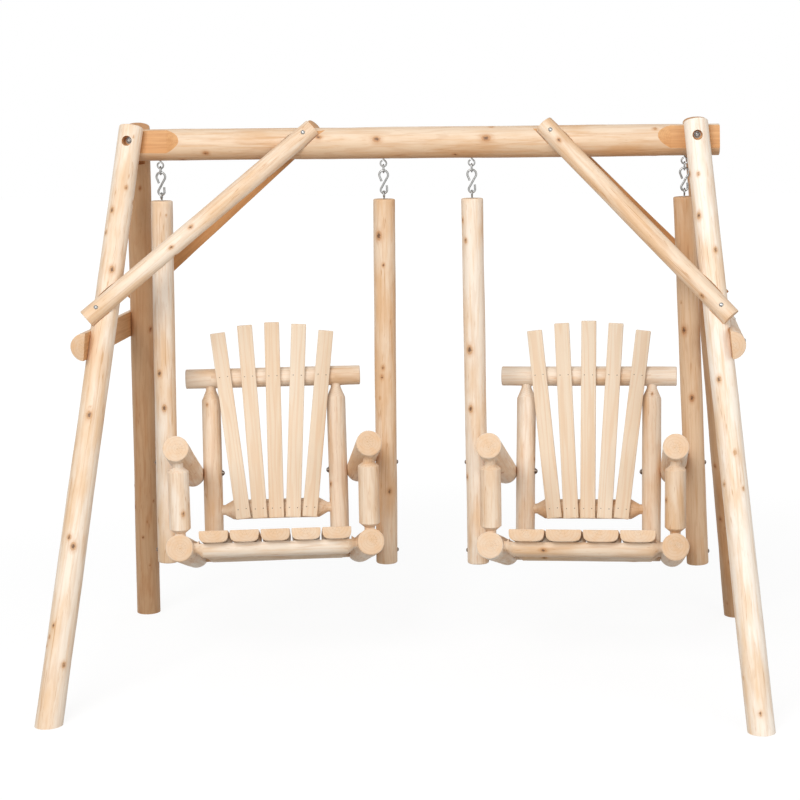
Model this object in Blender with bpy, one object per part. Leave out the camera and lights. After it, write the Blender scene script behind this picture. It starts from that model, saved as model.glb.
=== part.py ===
"""Rustic peeled-log double chair swing: an A-frame with two hanging chairs.

Metres, +Z up, +X to the sitter's left as seen from the front, front towards -Y.
The origin lies on the ground under the middle of the frame.
"""
import math

import bmesh
import bpy
from mathutils import Matrix, Vector

# Overall frame
BEAM_HEIGHT = 1.965
BEAM_LEFT_REACH = 1.072
BEAM_RIGHT_REACH = 1.108
BEAM_RADIUS = 0.0572
BEAM_FLAT = 0.038
BEAM_FLAT_LENGTH = 0.225
BEAM_FLAT_RUN_OUT = 0.050
LEG_TOP_X = 1.0255
LEG_FOOT_X = 1.225
LEG_FOOT_Y = 0.741
LEG_RISE = 0.048
LEG_TOP_RADIUS = 0.0435
LEG_FOOT_RADIUS = 0.048
LEG_FLAT = 0.030
LEG_NOTCH_BELOW = 0.085
LEG_OVERCUT = 0.06
BOLT_RADIUS = 0.006
BOLT_HEAD_RADIUS = 0.011
BOLT_HEAD = 0.008
BOLT_RISE = 0.020
COUNTERBORE_RADIUS = 0.018
COUNTERBORE_WOOD = 0.036

# Braces and crossbars, half-round logs laid flat side to the frame
BRACE_LEFT_TOP_X = 0.392
BRACE_RIGHT_TOP_X = 0.506
BRACE_TOP_RISE = 0.014
BRACE_LOW_HEIGHT = 1.40
BRACE_TOP_OVERHANG = 0.044
BRACE_LOW_OVERHANG = 0.080
BRACE_WIDTH = 0.070
BRACE_THICKNESS = 0.035
BRACE_SEAT = 0.008
CROSSBAR_HEIGHT = 1.268
CROSSBAR_LENGTH = 0.80
CROSSBAR_WIDTH = 0.100
CROSSBAR_THICKNESS = 0.050
CROSSBAR_SEAT = 0.008
SEAT_MARGIN = 0.002

# Suspension, from the beam down
EYE_WIRE = 0.003
EYE_RADIUS = 0.011
EYE_NECK = 0.005
EYE_STAND_OFF = 0.0015
EYE_SHANK = 0.030
EYE_BEND = math.radians(58)
EYE_TURN = math.radians(312)
LINK_WIRE = 0.003
LINK_HALF_WIDTH = 0.0075
LINK_PITCH = 0.028
HOOK_WIRE = 0.004
HOOK_PITCH = 0.082
HOOK_TOP_RADIUS = 0.016
HOOK_LOW_RADIUS = 0.0115
HOOK_MOUTH = math.radians(205)

# Chairs
HANGER_RADIUS = 0.0400
HANGER_FOOT = 0.400
ARM_RADIUS = 0.0465
ARM_HEIGHT = 0.908
ARM_SLOPE = math.radians(20)
ARM_LENGTH = 0.62
RAIL_RADIUS = 0.049
RAIL_HEIGHT = 0.546
RAIL_SLOPE = math.radians(16)
RAIL_LENGTH = 0.63
CHAIR_FRONT = -0.3425
REAR_HALF = 0.320
REAR_SIZED_AT = 0.210
ARM_POST_RADIUS = 0.038
ARM_POST_SET_BACK = 0.055
FRONT_RAIL_SET_BACK = 0.045
REAR_RAIL_SET_BACK = 0.405
CROSS_RAIL_RADIUS = 0.038
TENON_RADIUS = 0.019
TENON_DEPTH = 0.026
TENON_SHOWN = 0.008
ARM_POST_SHOULDER = 0.016
CROSS_RAIL_SHOULDER = 0.025
BACK_POST_SHOULDER = 0.040
LOWER_RAIL_SHOULDER = 0.032
SEAT_SLAT_LENGTH = 0.465
SEAT_SLAT_THICKNESS = 0.043
SEAT_SLAT_SINK = 0.024
SEAT_SLAT_FULLNESS = 3.2
SEAT_SLAT_FRONT = -0.012
BACK_RECLINE = math.radians(13.6)
BACK_POST_RADIUS = 0.036
BACK_POST_HALF = 0.240
BACK_POST_SET_BACK = 0.520
BACK_POST_FOOT = 0.375
TOP_RAIL_HEIGHT = 1.060
TOP_RAIL_RADIUS = 0.0375
TOP_RAIL_HALF = 0.335
LOWER_RAIL_HEIGHT = 0.566
BACK_SLATS = 5
BACK_SLAT_WIDTH = 0.057
BACK_SLAT_THICKNESS = 0.018
BACK_SLAT_LOW = 0.530
BACK_SLAT_TOP = 1.262
BACK_SLAT_TOP_DROP = 0.009
BACK_SLAT_LOW_STEP = 0.063
BACK_SLAT_TOP_STEP = 0.104
BACK_SLAT_SINK = 0.002
POST_SEAT = 0.008
# Each chair hangs as it was bolted up: turned about the vertical, and with its hanger posts leaning
# outwards at the foot by so much for each metre of their length
CHAIRS = {
    "left": {"centre": -0.541, "turn": math.radians(9.3), "front_half": 0.343, "seat_slats": 5,
             "slat_width": 0.104, "left_lean": 0.020, "right_lean": -0.013},
    "right": {"centre": 0.624, "turn": math.radians(-1.5), "front_half": 0.331, "seat_slats": 4,
              "slat_width": 0.126, "left_lean": -0.004, "right_lean": 0.040},
}
SEAT_SLAT_GAP = 0.006

# Fits and mesh detail
CLEAR = 0.0003
LOG_SIDES = 16
HALF_LOG_STEPS = 10
HALF_ROUND = 2.0
BOLT_SIDES = 12
SMOOTH_BELOW = math.radians(40)
END_CHAMFER = 0.004
SLAT_BEVEL = 0.003
RING_POINTS = 18
REACH = 0.10
BORE_ROLL = Vector((0.3, 0.5, 0.8))

MATERIALS = {
    "peeled_log": ((0.62, 0.42, 0.22), 0.62, 0.0),
    "galvanised_steel": ((0.55, 0.55, 0.54), 0.38, 1.0),
}


def clear_scene():
    for old in list(bpy.data.objects):
        bpy.data.objects.remove(old, do_unlink=True)


def material(name):
    found = bpy.data.materials.get(name)
    if found:
        return found
    colour, roughness, metallic = MATERIALS[name]
    made = bpy.data.materials.new(name)
    made.use_nodes = True
    shader = made.node_tree.nodes["Principled BSDF"]
    shader.inputs["Base Color"].default_value = (*colour, 1.0)
    shader.inputs["Roughness"].default_value = roughness
    shader.inputs["Metallic"].default_value = metallic
    return made


def pivot(name, place):
    empty = bpy.data.objects.new(name, None)
    empty.location = place
    bpy.context.collection.objects.link(empty)
    return empty


def add(name, data, place, parent, finish):
    piece = bpy.data.objects.new(name, data)
    data.materials.append(material(finish))
    bpy.context.collection.objects.link(piece)
    if parent:
        piece.parent = parent
        piece.matrix_parent_inverse = Matrix.Translation(parent.location).inverted()
    piece.matrix_basis = place
    return piece


def helper(name, data, place):
    """A cutter or a piece to be joined to another: drawn as wire and left out of the model."""
    guide = bpy.data.objects.new(name, data)
    bpy.context.collection.objects.link(guide)
    guide.matrix_basis = place
    guide.hide_render = True
    guide.display_type = "WIRE"
    return guide


def mesh_from(name, bm):
    bmesh.ops.remove_doubles(bm, verts=bm.verts, dist=1e-6)
    bmesh.ops.recalc_face_normals(bm, faces=bm.faces)
    data = bpy.data.meshes.new(name)
    bm.to_mesh(data)
    bm.free()
    return data


def along(start, end, outward=Vector((0, 0, 1))):
    """Local Z runs from start to end, local Y faces outward and local X fills in."""
    z_axis = (end - start).normalized()
    y_axis = (outward - z_axis * outward.dot(z_axis)).normalized()
    x_axis = y_axis.cross(z_axis)
    turn = Matrix((x_axis, y_axis, z_axis)).transposed()
    return Matrix.Translation(start) @ turn.to_4x4()


def turned(name, profile, sides=LOG_SIDES):
    """A solid turned about local Z from (height, radius) pairs; both ends are closed."""
    bm = bmesh.new()
    ends = [(profile[0][0], 0.0), *profile, (profile[-1][0], 0.0)]
    points = [bm.verts.new((radius, 0, height)) for height, radius in ends]
    edges = [bm.edges.new(pair) for pair in zip(points, points[1:])]
    bmesh.ops.spin(bm, geom=points + edges, axis=(0, 0, 1), cent=(0, 0, 0), angle=math.tau,
                   steps=sides, use_merge=True)
    data = mesh_from(name, bm)
    data.shade_smooth()
    data.set_sharp_from_angle(angle=SMOOTH_BELOW)
    return data


def plain_profile(length, low, high):
    return [(0, low - END_CHAMFER), (END_CHAMFER, low),
            (length - END_CHAMFER, high), (length, high - END_CHAMFER)]


def tenon_end(shoulder_at, toward, body, shoulder):
    """Height and radius pairs from the body down to a tenon that enters its mortise at shoulder_at."""
    neck = shoulder_at - toward * TENON_SHOWN
    return [(neck - toward * shoulder, body), (neck, TENON_RADIUS),
            (shoulder_at + toward * TENON_DEPTH, TENON_RADIUS)]


def double_tenon_profile(length, body, shoulder):
    """A rail or post that enters its mortises at 0 and at length, with a tapered shoulder before each."""
    return tenon_end(0, -1, body, shoulder)[::-1] + tenon_end(length, 1, body, shoulder)


def half_log(name, width, thickness, length, fullness=HALF_ROUND):
    """Flat side on local Y = 0, round side towards +Y, running along local Z from 0.

    A fullness of HALF_ROUND gives half an ellipse, and more than that squarer corners.
    """
    bm = bmesh.new()
    points = []
    for step in range(HALF_LOG_STEPS + 1):
        angle = math.pi * step / HALF_LOG_STEPS
        across = abs(math.cos(angle)) ** (HALF_ROUND / fullness)
        out = math.sin(angle) ** (HALF_ROUND / fullness) if 0 < step < HALF_LOG_STEPS else 0.0
        points.append(bm.verts.new((math.copysign(across, math.cos(angle)) * width / 2, out * thickness, 0)))
    face = bm.faces.new(points)
    grown = bmesh.ops.extrude_face_region(bm, geom=[face])
    tops = [item for item in grown["geom"] if isinstance(item, bmesh.types.BMVert)]
    bmesh.ops.translate(bm, verts=tops, vec=(0, 0, length))
    return mesh_from(name, bm)


def block(name, low, high, bevel=0.0):
    bm = bmesh.new()
    bmesh.ops.create_cube(bm, size=1.0)
    size = Vector(high) - Vector(low)
    bmesh.ops.scale(bm, verts=bm.verts, vec=size)
    bmesh.ops.translate(bm, verts=bm.verts, vec=(Vector(low) + Vector(high)) / 2)
    if bevel:
        bmesh.ops.bevel(bm, geom=bm.edges[:], offset=bevel, offset_type="OFFSET", segments=1,
                        profile=0.5, affect="EDGES", material=-1)
    return mesh_from(name, bm)


def combine(piece, other, operation):
    modifier = piece.modifiers.new(f"{operation.lower()}_{other.name}", "BOOLEAN")
    modifier.operation = operation
    modifier.solver = "EXACT"
    modifier.object = other


def bore(piece, mouth, end, radius):
    """A round hole from outside the piece, through mouth, to end."""
    start = mouth + (mouth - end).normalized() * REACH
    length = (end - start).length
    corner = radius / math.cos(math.pi / LOG_SIDES)
    data = turned(f"bore_{piece.name}", [(0, corner), (length, corner)])
    cutter = helper(f"bore_{piece.name}", data, along(start, end, BORE_ROLL))
    combine(piece, cutter, "DIFFERENCE")


def wire(name, points, radius, place, parent, closed=False):
    data = bpy.data.curves.new(name, "CURVE")
    data.dimensions = "3D"
    data.bevel_depth = radius
    data.bevel_resolution = 1
    data.use_fill_caps = not closed
    spline = data.splines.new("POLY")
    spline.points.add(len(points) - 1)
    for target, point in zip(spline.points, points):
        target.co = (*point, 1.0)
    spline.use_cyclic_u = closed
    return add(name, data, place, parent, "galvanised_steel")


def arc(centre, radius, first, last, count):
    """Points in the XZ plane."""
    steps = [first + (last - first) * step / (count - 1) for step in range(count)]
    return [Vector((centre[0] + radius * math.cos(a), 0, centre[1] + radius * math.sin(a))) for a in steps]


# Heights along the suspension
BEAM_BOTTOM = BEAM_HEIGHT - BEAM_RADIUS
EYE_TO_WOOD = EYE_RADIUS + EYE_NECK + EYE_STAND_OFF
BEAM_EYE_CENTRE = BEAM_BOTTOM - EYE_TO_WOOD
SWING_AXIS = BEAM_EYE_CENTRE - EYE_RADIUS
LINK_TOP = SWING_AXIS + EYE_WIRE + LINK_WIRE + CLEAR
LINK_LOW = LINK_TOP - LINK_PITCH
HOOK_TOP = LINK_LOW + LINK_WIRE + HOOK_WIRE + CLEAR
TILT_AXIS = HOOK_TOP - HOOK_PITCH
POST_EYE_TOP = TILT_AXIS + HOOK_WIRE + EYE_WIRE + CLEAR
POST_EYE_CENTRE = POST_EYE_TOP - EYE_RADIUS
HANGER_TOP = POST_EYE_CENTRE - EYE_TO_WOOD

# The leaning plane that holds the front legs; the rear one mirrors it
LEG_LEAN = math.atan2(LEG_FOOT_Y - (BEAM_FLAT + LEG_FLAT), BEAM_HEIGHT)


def leg_normal(front):
    """Points out of the frame, square to the legs of one side."""
    return Vector((0, front * math.cos(LEG_LEAN), math.sin(LEG_LEAN)))


def leg_ends(side, front):
    at_beam = Vector((side * LEG_TOP_X, 0, BEAM_HEIGHT)) + leg_normal(front) * (BEAM_FLAT + LEG_FLAT + CLEAR)
    foot = Vector((side * LEG_FOOT_X, front * LEG_FOOT_Y, 0))
    run = (at_beam - foot).normalized()
    return foot - run * LEG_OVERCUT, at_beam + run * LEG_RISE


def leg_at(side, front, height):
    foot, top = leg_ends(side, front)
    return foot + (top - foot) * ((height - foot.z) / (top.z - foot.z))


def leg_radius(height):
    return LEG_FOOT_RADIUS + (LEG_TOP_RADIUS - LEG_FOOT_RADIUS) * height / BEAM_HEIGHT


def side_name(side):
    return "left" if side < 0 else "right"


def front_name(front):
    return "front" if front < 0 else "rear"


def hewn_flat(name, length):
    """What an axe takes off the beam: level from the far end, then running out to the round at 0."""
    bm = bmesh.new()
    outline = [(BEAM_FLAT, length), (BEAM_FLAT, BEAM_FLAT_RUN_OUT), (BEAM_RADIUS, 0),
               (REACH, 0), (REACH, length)]
    face = bm.faces.new([bm.verts.new((-REACH, out, run)) for out, run in outline])
    grown = bmesh.ops.extrude_face_region(bm, geom=[face])
    far = [item for item in grown["geom"] if isinstance(item, bmesh.types.BMVert)]
    bmesh.ops.translate(bm, verts=far, vec=(2 * REACH, 0, 0))
    return mesh_from(name, bm)


def build_beam(root):
    ends = {-1: Vector((-BEAM_LEFT_REACH, 0, BEAM_HEIGHT)), 1: Vector((BEAM_RIGHT_REACH, 0, BEAM_HEIGHT))}
    data = turned("top_beam", plain_profile(BEAM_LEFT_REACH + BEAM_RIGHT_REACH, BEAM_RADIUS, BEAM_RADIUS))
    beam = add("top_beam", data, along(ends[-1], ends[1]), root, "peeled_log")
    for side in (-1, 1):
        for front in (-1, 1):
            # The hewn flat that carries a leg, from the beam's end inwards
            inner = ends[side] - Vector((side * BEAM_FLAT_LENGTH, 0, 0))
            outer = ends[side] + Vector((side * REACH, 0, 0))
            flat = hewn_flat("beam_flat", (outer - inner).length)
            combine(beam, helper("beam_flat", flat, along(inner, outer, leg_normal(front))), "DIFFERENCE")
    return beam


def build_legs(root):
    legs = {}
    span = LEG_FOOT_X + LEG_FOOT_Y
    ground = helper("ground", block("ground", (-span, -span, -span), (span, span, 0)), Matrix())
    for side in (-1, 1):
        for front in (-1, 1):
            name = f"{front_name(front)}_{side_name(side)}_leg"
            foot, top = leg_ends(side, front)
            length = (top - foot).length
            data = turned(name, plain_profile(length, LEG_FOOT_RADIUS, LEG_TOP_RADIUS))
            outward = leg_normal(front)
            leg = add(name, data, along(foot, top, outward), root, "peeled_log")
            combine(leg, ground, "DIFFERENCE")
            notch = block("leg_notch", (-REACH, -REACH, length - LEG_RISE - LEG_NOTCH_BELOW),
                          (REACH, -LEG_FLAT, length + REACH))
            combine(leg, helper("leg_notch", notch, along(foot, top, outward)), "DIFFERENCE")
            legs[side, front] = leg
    return legs


def build_leg_bolts(root, beam, legs):
    height = BEAM_HEIGHT + BOLT_RISE
    for side in (-1, 1):
        ends = [leg_at(side, front, height) for front in (-1, 1)]
        x = ends[0].x
        seat = abs(ends[0].y) - LEG_FLAT + COUNTERBORE_WOOD - BOLT_HEAD / 2
        low = Vector((x, -seat - BOLT_HEAD, height))
        high = Vector((x, seat + BOLT_HEAD, height))
        length = (high - low).length
        profile = [(0, BOLT_HEAD_RADIUS), (BOLT_HEAD, BOLT_HEAD_RADIUS), (BOLT_HEAD, BOLT_RADIUS),
                   (length - BOLT_HEAD, BOLT_RADIUS), (length - BOLT_HEAD, BOLT_HEAD_RADIUS),
                   (length, BOLT_HEAD_RADIUS)]
        name = f"{side_name(side)}_leg_bolt"
        add(name, turned(name, profile, BOLT_SIDES), along(low, high), root, "galvanised_steel")
        middle = Vector((x, 0, height))
        across = Vector((0, BEAM_RADIUS + REACH, 0))
        bore(beam, middle - across, middle + across, BOLT_RADIUS + CLEAR)
        for front in (-1, 1):
            outside = middle + Vector((0, front * (seat + REACH), 0))
            bore(legs[side, front], outside, middle, BOLT_RADIUS + CLEAR)
            shelf = middle + Vector((0, front * (seat - CLEAR), 0))
            bore(legs[side, front], outside, shelf, COUNTERBORE_RADIUS)


def build_braces(root, beam, legs):
    for side, top_x in ((-1, -BRACE_LEFT_TOP_X), (1, BRACE_RIGHT_TOP_X)):
        for front in (-1, 1):
            outward = leg_normal(front)
            at_beam = Vector((top_x, 0, BEAM_HEIGHT)) + outward * (BEAM_RADIUS - BRACE_SEAT)
            at_beam += outward.cross(Vector((-front, 0, 0))) * BRACE_TOP_RISE
            low_radius = leg_radius(BRACE_LOW_HEIGHT)
            at_leg = leg_at(side, front, BRACE_LOW_HEIGHT) + outward * (low_radius - BRACE_SEAT)
            run = (at_leg - at_beam).normalized()
            start = at_beam - run * BRACE_TOP_OVERHANG
            end = at_leg + run * BRACE_LOW_OVERHANG
            place = along(start, end, outward)
            name = f"{front_name(front)}_{side_name(side)}_brace"
            length = (end - start).length
            add(name, half_log(name, BRACE_WIDTH, BRACE_THICKNESS, length), place, root, "peeled_log")
            half = BRACE_WIDTH / 2 + SEAT_MARGIN
            seat = block("brace_seat", (-half, -CLEAR, -REACH), (half, REACH, length + REACH))
            cutter = helper("brace_seat", seat, place)
            combine(beam, cutter, "DIFFERENCE")
            combine(legs[side, front], cutter, "DIFFERENCE")


def build_crossbars(root, legs):
    for side in (-1, 1):
        foot, top = leg_ends(side, -1)
        splay = math.atan2(abs(foot.x) - abs(top.x), top.z - foot.z)
        outward = Vector((side * math.cos(splay), 0, math.sin(splay)))
        centre = Vector((leg_at(side, -1, CROSSBAR_HEIGHT).x, 0, CROSSBAR_HEIGHT))
        centre += outward * (leg_radius(CROSSBAR_HEIGHT) - CROSSBAR_SEAT)
        reach = Vector((0, CROSSBAR_LENGTH / 2, 0))
        place = along(centre - reach, centre + reach, outward)
        name = f"{side_name(side)}_crossbar"
        data = half_log(name, CROSSBAR_WIDTH, CROSSBAR_THICKNESS, CROSSBAR_LENGTH)
        add(name, data, place, root, "peeled_log")
        half = CROSSBAR_WIDTH / 2 + SEAT_MARGIN
        seat = block("crossbar_seat", (-half, -CLEAR, -REACH), (half, REACH, CROSSBAR_LENGTH + REACH))
        cutter = helper("crossbar_seat", seat, place)
        for front in (-1, 1):
            combine(legs[side, front], cutter, "DIFFERENCE")


def eye_path(shank):
    """A screw eye bent from one wire: the shank stands on +Z and the ring nearly closes on it."""
    ring = arc((0, 0), EYE_RADIUS, EYE_BEND, EYE_BEND - EYE_TURN, RING_POINTS)
    return [Vector((0, 0, EYE_RADIUS + EYE_NECK + shank)), Vector((0, 0, EYE_RADIUS + EYE_NECK)), *ring]


def link_path():
    """A stadium loop, LINK_PITCH between the wire centres at its two ends, in the XZ plane."""
    straight = LINK_PITCH / 2 - LINK_HALF_WIDTH
    count = RING_POINTS // 2
    upper = arc((0, straight), LINK_HALF_WIDTH, 0, math.pi, count)
    lower = arc((0, -straight), LINK_HALF_WIDTH, math.pi, math.tau, count)
    return upper + lower


def hook_path():
    """An S hook in the XZ plane: its top wire lies at 0 and its lowest wire at -HOOK_PITCH."""
    upper = (0, -HOOK_TOP_RADIUS)
    lower = (0, HOOK_LOW_RADIUS - HOOK_PITCH)
    gap = upper[1] - lower[1]
    lean = math.asin((HOOK_TOP_RADIUS + HOOK_LOW_RADIUS) / gap)
    top = arc(upper, HOOK_TOP_RADIUS, HOOK_MOUTH, -lean, RING_POINTS)
    bottom = arc(lower, HOOK_LOW_RADIUS, math.pi - lean, math.tau + HOOK_MOUTH - math.pi, RING_POINTS)
    return top + bottom


def build_suspension(root, beam, hangers, x, name):
    """One eye, link and S hook under the beam at x."""
    quarter = Matrix.Rotation(math.pi / 2, 4, "Z")
    eye_place = Matrix.Translation((x, 0, BEAM_EYE_CENTRE))
    wire(f"{name}_beam_eye", eye_path(EYE_SHANK), EYE_WIRE, eye_place, root)
    mouth = Vector((x, 0, BEAM_BOTTOM))
    bore(beam, mouth, mouth + Vector((0, 0, EYE_SHANK)), EYE_WIRE + CLEAR)
    link_place = Matrix.Translation((x, 0, (LINK_TOP + LINK_LOW) / 2)) @ quarter
    wire(f"{name}_link", link_path(), LINK_WIRE, link_place, hangers, closed=True)
    wire(f"{name}_s_hook", hook_path(), HOOK_WIRE, Matrix.Translation((x, 0, HOOK_TOP)), hangers)


class Chair:
    """One hanging chair; its pieces share the seat's slope, width and turn."""

    def __init__(self, name, spec, root, beam):
        self.name = name
        self.spec = spec
        self.beam = beam
        self.root = root
        self.turn = Matrix.Rotation(spec["turn"], 3, "Z")
        self.taper = (REAR_HALF - spec["front_half"]) / (REAR_SIZED_AT - CHAIR_FRONT)
        self.hangers = pivot(f"{name}_swing_axis", (spec["centre"], 0, SWING_AXIS))
        self.body = pivot(f"{name}_tilt_axis", (spec["centre"], 0, TILT_AXIS))

    def half_at(self, y):
        """Half the distance between the side rails' axes, which close in towards the rear."""
        return self.spec["front_half"] + self.taper * (y - CHAIR_FRONT)

    def place(self, x, y, z):
        """From the chair's own axes, square to its seat, to the frame's."""
        return Vector((self.spec["centre"], 0, 0)) + self.turn @ Vector((x, y, z))

    def rail_height(self, y):
        return RAIL_HEIGHT - (y - CHAIR_FRONT) * math.tan(RAIL_SLOPE)

    def arm_height(self, y):
        return ARM_HEIGHT - (y - CHAIR_FRONT) * math.tan(ARM_SLOPE)

    def log(self, name, start, end, profile, outward=Vector((0, 0, 1))):
        full = f"{self.name}_chair_{name}"
        return add(full, turned(full, profile), along(start, end, outward), self.body, "peeled_log")

    def build(self):
        self.build_sides()
        self.build_hanger_posts()
        self.build_arm_posts()
        self.build_front_rail()
        self.build_seat_deck()
        self.build_back()

    def build_sides(self):
        self.rails = {}
        self.arms = {}
        for side in (-1, 1):
            label = side_name(side)
            for kind, length, slope, radius, height, made in (
                    ("side_rail", RAIL_LENGTH, RAIL_SLOPE, RAIL_RADIUS, self.rail_height, self.rails),
                    ("arm", ARM_LENGTH, ARM_SLOPE, ARM_RADIUS, self.arm_height, self.arms)):
                rear = CHAIR_FRONT + length * math.cos(slope)
                start = self.place(side * self.half_at(CHAIR_FRONT), CHAIR_FRONT, height(CHAIR_FRONT))
                end = self.place(side * self.half_at(rear), rear, height(rear))
                profile = plain_profile((end - start).length, radius, radius)
                made[side] = self.log(f"{label}_{kind}", start, end, profile)

    def seat_against(self, start, end, radius, pieces):
        """Hew a shallow flat on each piece where a round post stands against it."""
        size = radius + CLEAR
        high = (end - start).length + REACH
        flat = block("post_flat", (-size, -REACH / 2, -REACH), (size, REACH / 2, high))
        cutter = helper("post_flat", flat, along(start, end, self.turn @ Vector((0, 1, 0))))
        for piece in pieces:
            combine(piece, cutter, "DIFFERENCE")

    def hanger_at(self, side, height):
        """A point on a hanger post's axis: on the line of the eyes, beside the rail and the arm."""
        turn = self.spec["turn"]
        beside = self.half_at(0) + RAIL_RADIUS + HANGER_RADIUS - POST_SEAT
        out = beside / (math.cos(turn) + side * self.taper * math.sin(turn))
        seat_height = (self.rail_height(0) + self.arm_height(0)) / 2
        out += self.spec[f"{side_name(side)}_lean"] * (seat_height - height)
        return Vector((self.spec["centre"] + side * out, 0, height))

    def build_hanger_posts(self):
        for side in (-1, 1):
            label = side_name(side)
            foot = self.hanger_at(side, HANGER_FOOT)
            top = self.hanger_at(side, HANGER_TOP)
            profile = plain_profile((top - foot).length, HANGER_RADIUS, HANGER_RADIUS)
            post = self.log(f"{label}_hanger_post", foot, top, profile, Vector((0, 1, 0)))
            self.seat_against(foot, top, HANGER_RADIUS, (self.rails[side], self.arms[side]))
            build_suspension(self.root, self.beam, self.hangers, top.x, f"{self.name}_chair_{label}")
            turn = Matrix.Rotation(math.pi / 2, 4, "Z") @ Matrix.Rotation(math.pi, 4, "X")
            eye_place = Matrix.Translation((top.x, 0, POST_EYE_CENTRE)) @ turn
            wire(f"{self.name}_chair_{label}_post_eye", eye_path(EYE_SHANK), EYE_WIRE, eye_place, self.body)
            bore(post, top, top - Vector((0, 0, EYE_SHANK)), EYE_WIRE + CLEAR)

    def mortise(self, piece, shoulder, tip):
        depth = (tip - shoulder).normalized() * (TENON_DEPTH + 2 * CLEAR)
        bore(piece, shoulder, shoulder + depth, TENON_RADIUS + CLEAR)

    def build_arm_posts(self):
        y = CHAIR_FRONT + ARM_POST_SET_BACK
        for side in (-1, 1):
            x = side * self.half_at(y)
            low = self.place(x, y, self.rail_height(y) + RAIL_RADIUS / math.cos(RAIL_SLOPE))
            high = self.place(x, y, self.arm_height(y) - ARM_RADIUS / math.cos(ARM_SLOPE))
            profile = double_tenon_profile((high - low).length, ARM_POST_RADIUS, ARM_POST_SHOULDER)
            self.log(f"{side_name(side)}_arm_post", low, high, profile, Vector((0, 1, 0)))
            self.mortise(self.rails[side], low, self.place(x, y, self.rail_height(y)))
            self.mortise(self.arms[side], high, self.place(x, y, self.arm_height(y)))

    def cross_rail_ends(self, y):
        inner = self.half_at(y) - RAIL_RADIUS
        height = self.rail_height(y)
        return self.place(-inner, y, height), self.place(inner, y, height)

    def cross_rail(self, name, y):
        left, right = self.cross_rail_ends(y)
        profile = double_tenon_profile((right - left).length, CROSS_RAIL_RADIUS, CROSS_RAIL_SHOULDER)
        rail = self.log(name, left, right, profile, self.seat_normal())
        self.mortise(self.rails[-1], left, left - (right - left))
        self.mortise(self.rails[1], right, right + (right - left))
        return rail

    def seat_normal(self):
        return self.turn @ Vector((0, math.sin(RAIL_SLOPE), math.cos(RAIL_SLOPE)))

    def seat_width(self):
        count = self.spec["seat_slats"]
        return count * self.spec["slat_width"] + (count - 1) * SEAT_SLAT_GAP

    def build_front_rail(self):
        y = CHAIR_FRONT + FRONT_RAIL_SET_BACK
        rail = self.cross_rail("front_rail", y)
        left, right = self.cross_rail_ends(y)
        low = CROSS_RAIL_RADIUS - SEAT_SLAT_SINK - CLEAR
        middle = (right - left).length / 2
        reach = self.seat_width() / 2 + SEAT_MARGIN
        flat = block("slat_flat", (-REACH, low, middle - reach), (REACH, REACH, middle + reach))
        combine(rail, helper("slat_flat", flat, along(left, right, self.seat_normal())), "DIFFERENCE")

    def build_seat_deck(self):
        """The rear rail with the half-round seat slats that are nailed to it."""
        rail = self.cross_rail("seat_deck", CHAIR_FRONT + REAR_RAIL_SET_BACK)
        count = self.spec["seat_slats"]
        width = self.spec["slat_width"]
        lift = CROSS_RAIL_RADIUS - SEAT_SLAT_SINK + SEAT_SLAT_THICKNESS
        up = self.seat_normal()
        front = CHAIR_FRONT + SEAT_SLAT_FRONT - math.sin(RAIL_SLOPE) * lift
        rear = front + SEAT_SLAT_LENGTH * math.cos(RAIL_SLOPE)
        for index in range(count):
            x = (index - (count - 1) / 2) * (width + SEAT_SLAT_GAP)
            start = self.place(x, front, self.rail_height(front)) + up * lift
            end = self.place(x, rear, self.rail_height(rear)) + up * lift
            data = half_log("seat_slat", width, SEAT_SLAT_THICKNESS, SEAT_SLAT_LENGTH, SEAT_SLAT_FULLNESS)
            combine(rail, helper("seat_slat", data, along(start, end, -up)), "UNION")

    def back_axis(self, x, height):
        """A point on the plane of the back posts' axes."""
        y = CHAIR_FRONT + BACK_POST_SET_BACK + (height - RAIL_HEIGHT) * math.tan(BACK_RECLINE)
        return self.place(x, y, height)

    def back_normal(self):
        """Faces the sitter."""
        return self.turn @ Vector((0, -math.cos(BACK_RECLINE), math.sin(BACK_RECLINE)))

    def back_shoulder(self, side):
        """Where a back post's tenon enters the underside of the top rail."""
        foot = self.back_axis(side * BACK_POST_HALF, BACK_POST_FOOT)
        centre = self.back_axis(side * BACK_POST_HALF, TOP_RAIL_HEIGHT)
        return centre - (centre - foot).normalized() * TOP_RAIL_RADIUS

    def build_back(self):
        posts = {}
        for side in (-1, 1):
            foot = self.back_axis(side * BACK_POST_HALF, BACK_POST_FOOT)
            shoulder = self.back_shoulder(side)
            length = (shoulder - foot).length
            profile = [(0, BACK_POST_RADIUS - END_CHAMFER), (END_CHAMFER, BACK_POST_RADIUS)]
            profile += tenon_end(length, 1, BACK_POST_RADIUS, BACK_POST_SHOULDER)
            name = f"{side_name(side)}_back_post"
            posts[side] = self.log(name, foot, shoulder, profile, Vector((0, 1, 0)))
            self.seat_against(foot, shoulder, BACK_POST_RADIUS, (self.rails[side], self.arms[side]))
        top_rail = self.build_top_rail()
        for side in (-1, 1):
            centre = self.back_axis(side * BACK_POST_HALF, TOP_RAIL_HEIGHT)
            self.mortise(top_rail, self.back_shoulder(side), centre)
        self.build_back_panel(posts)

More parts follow.
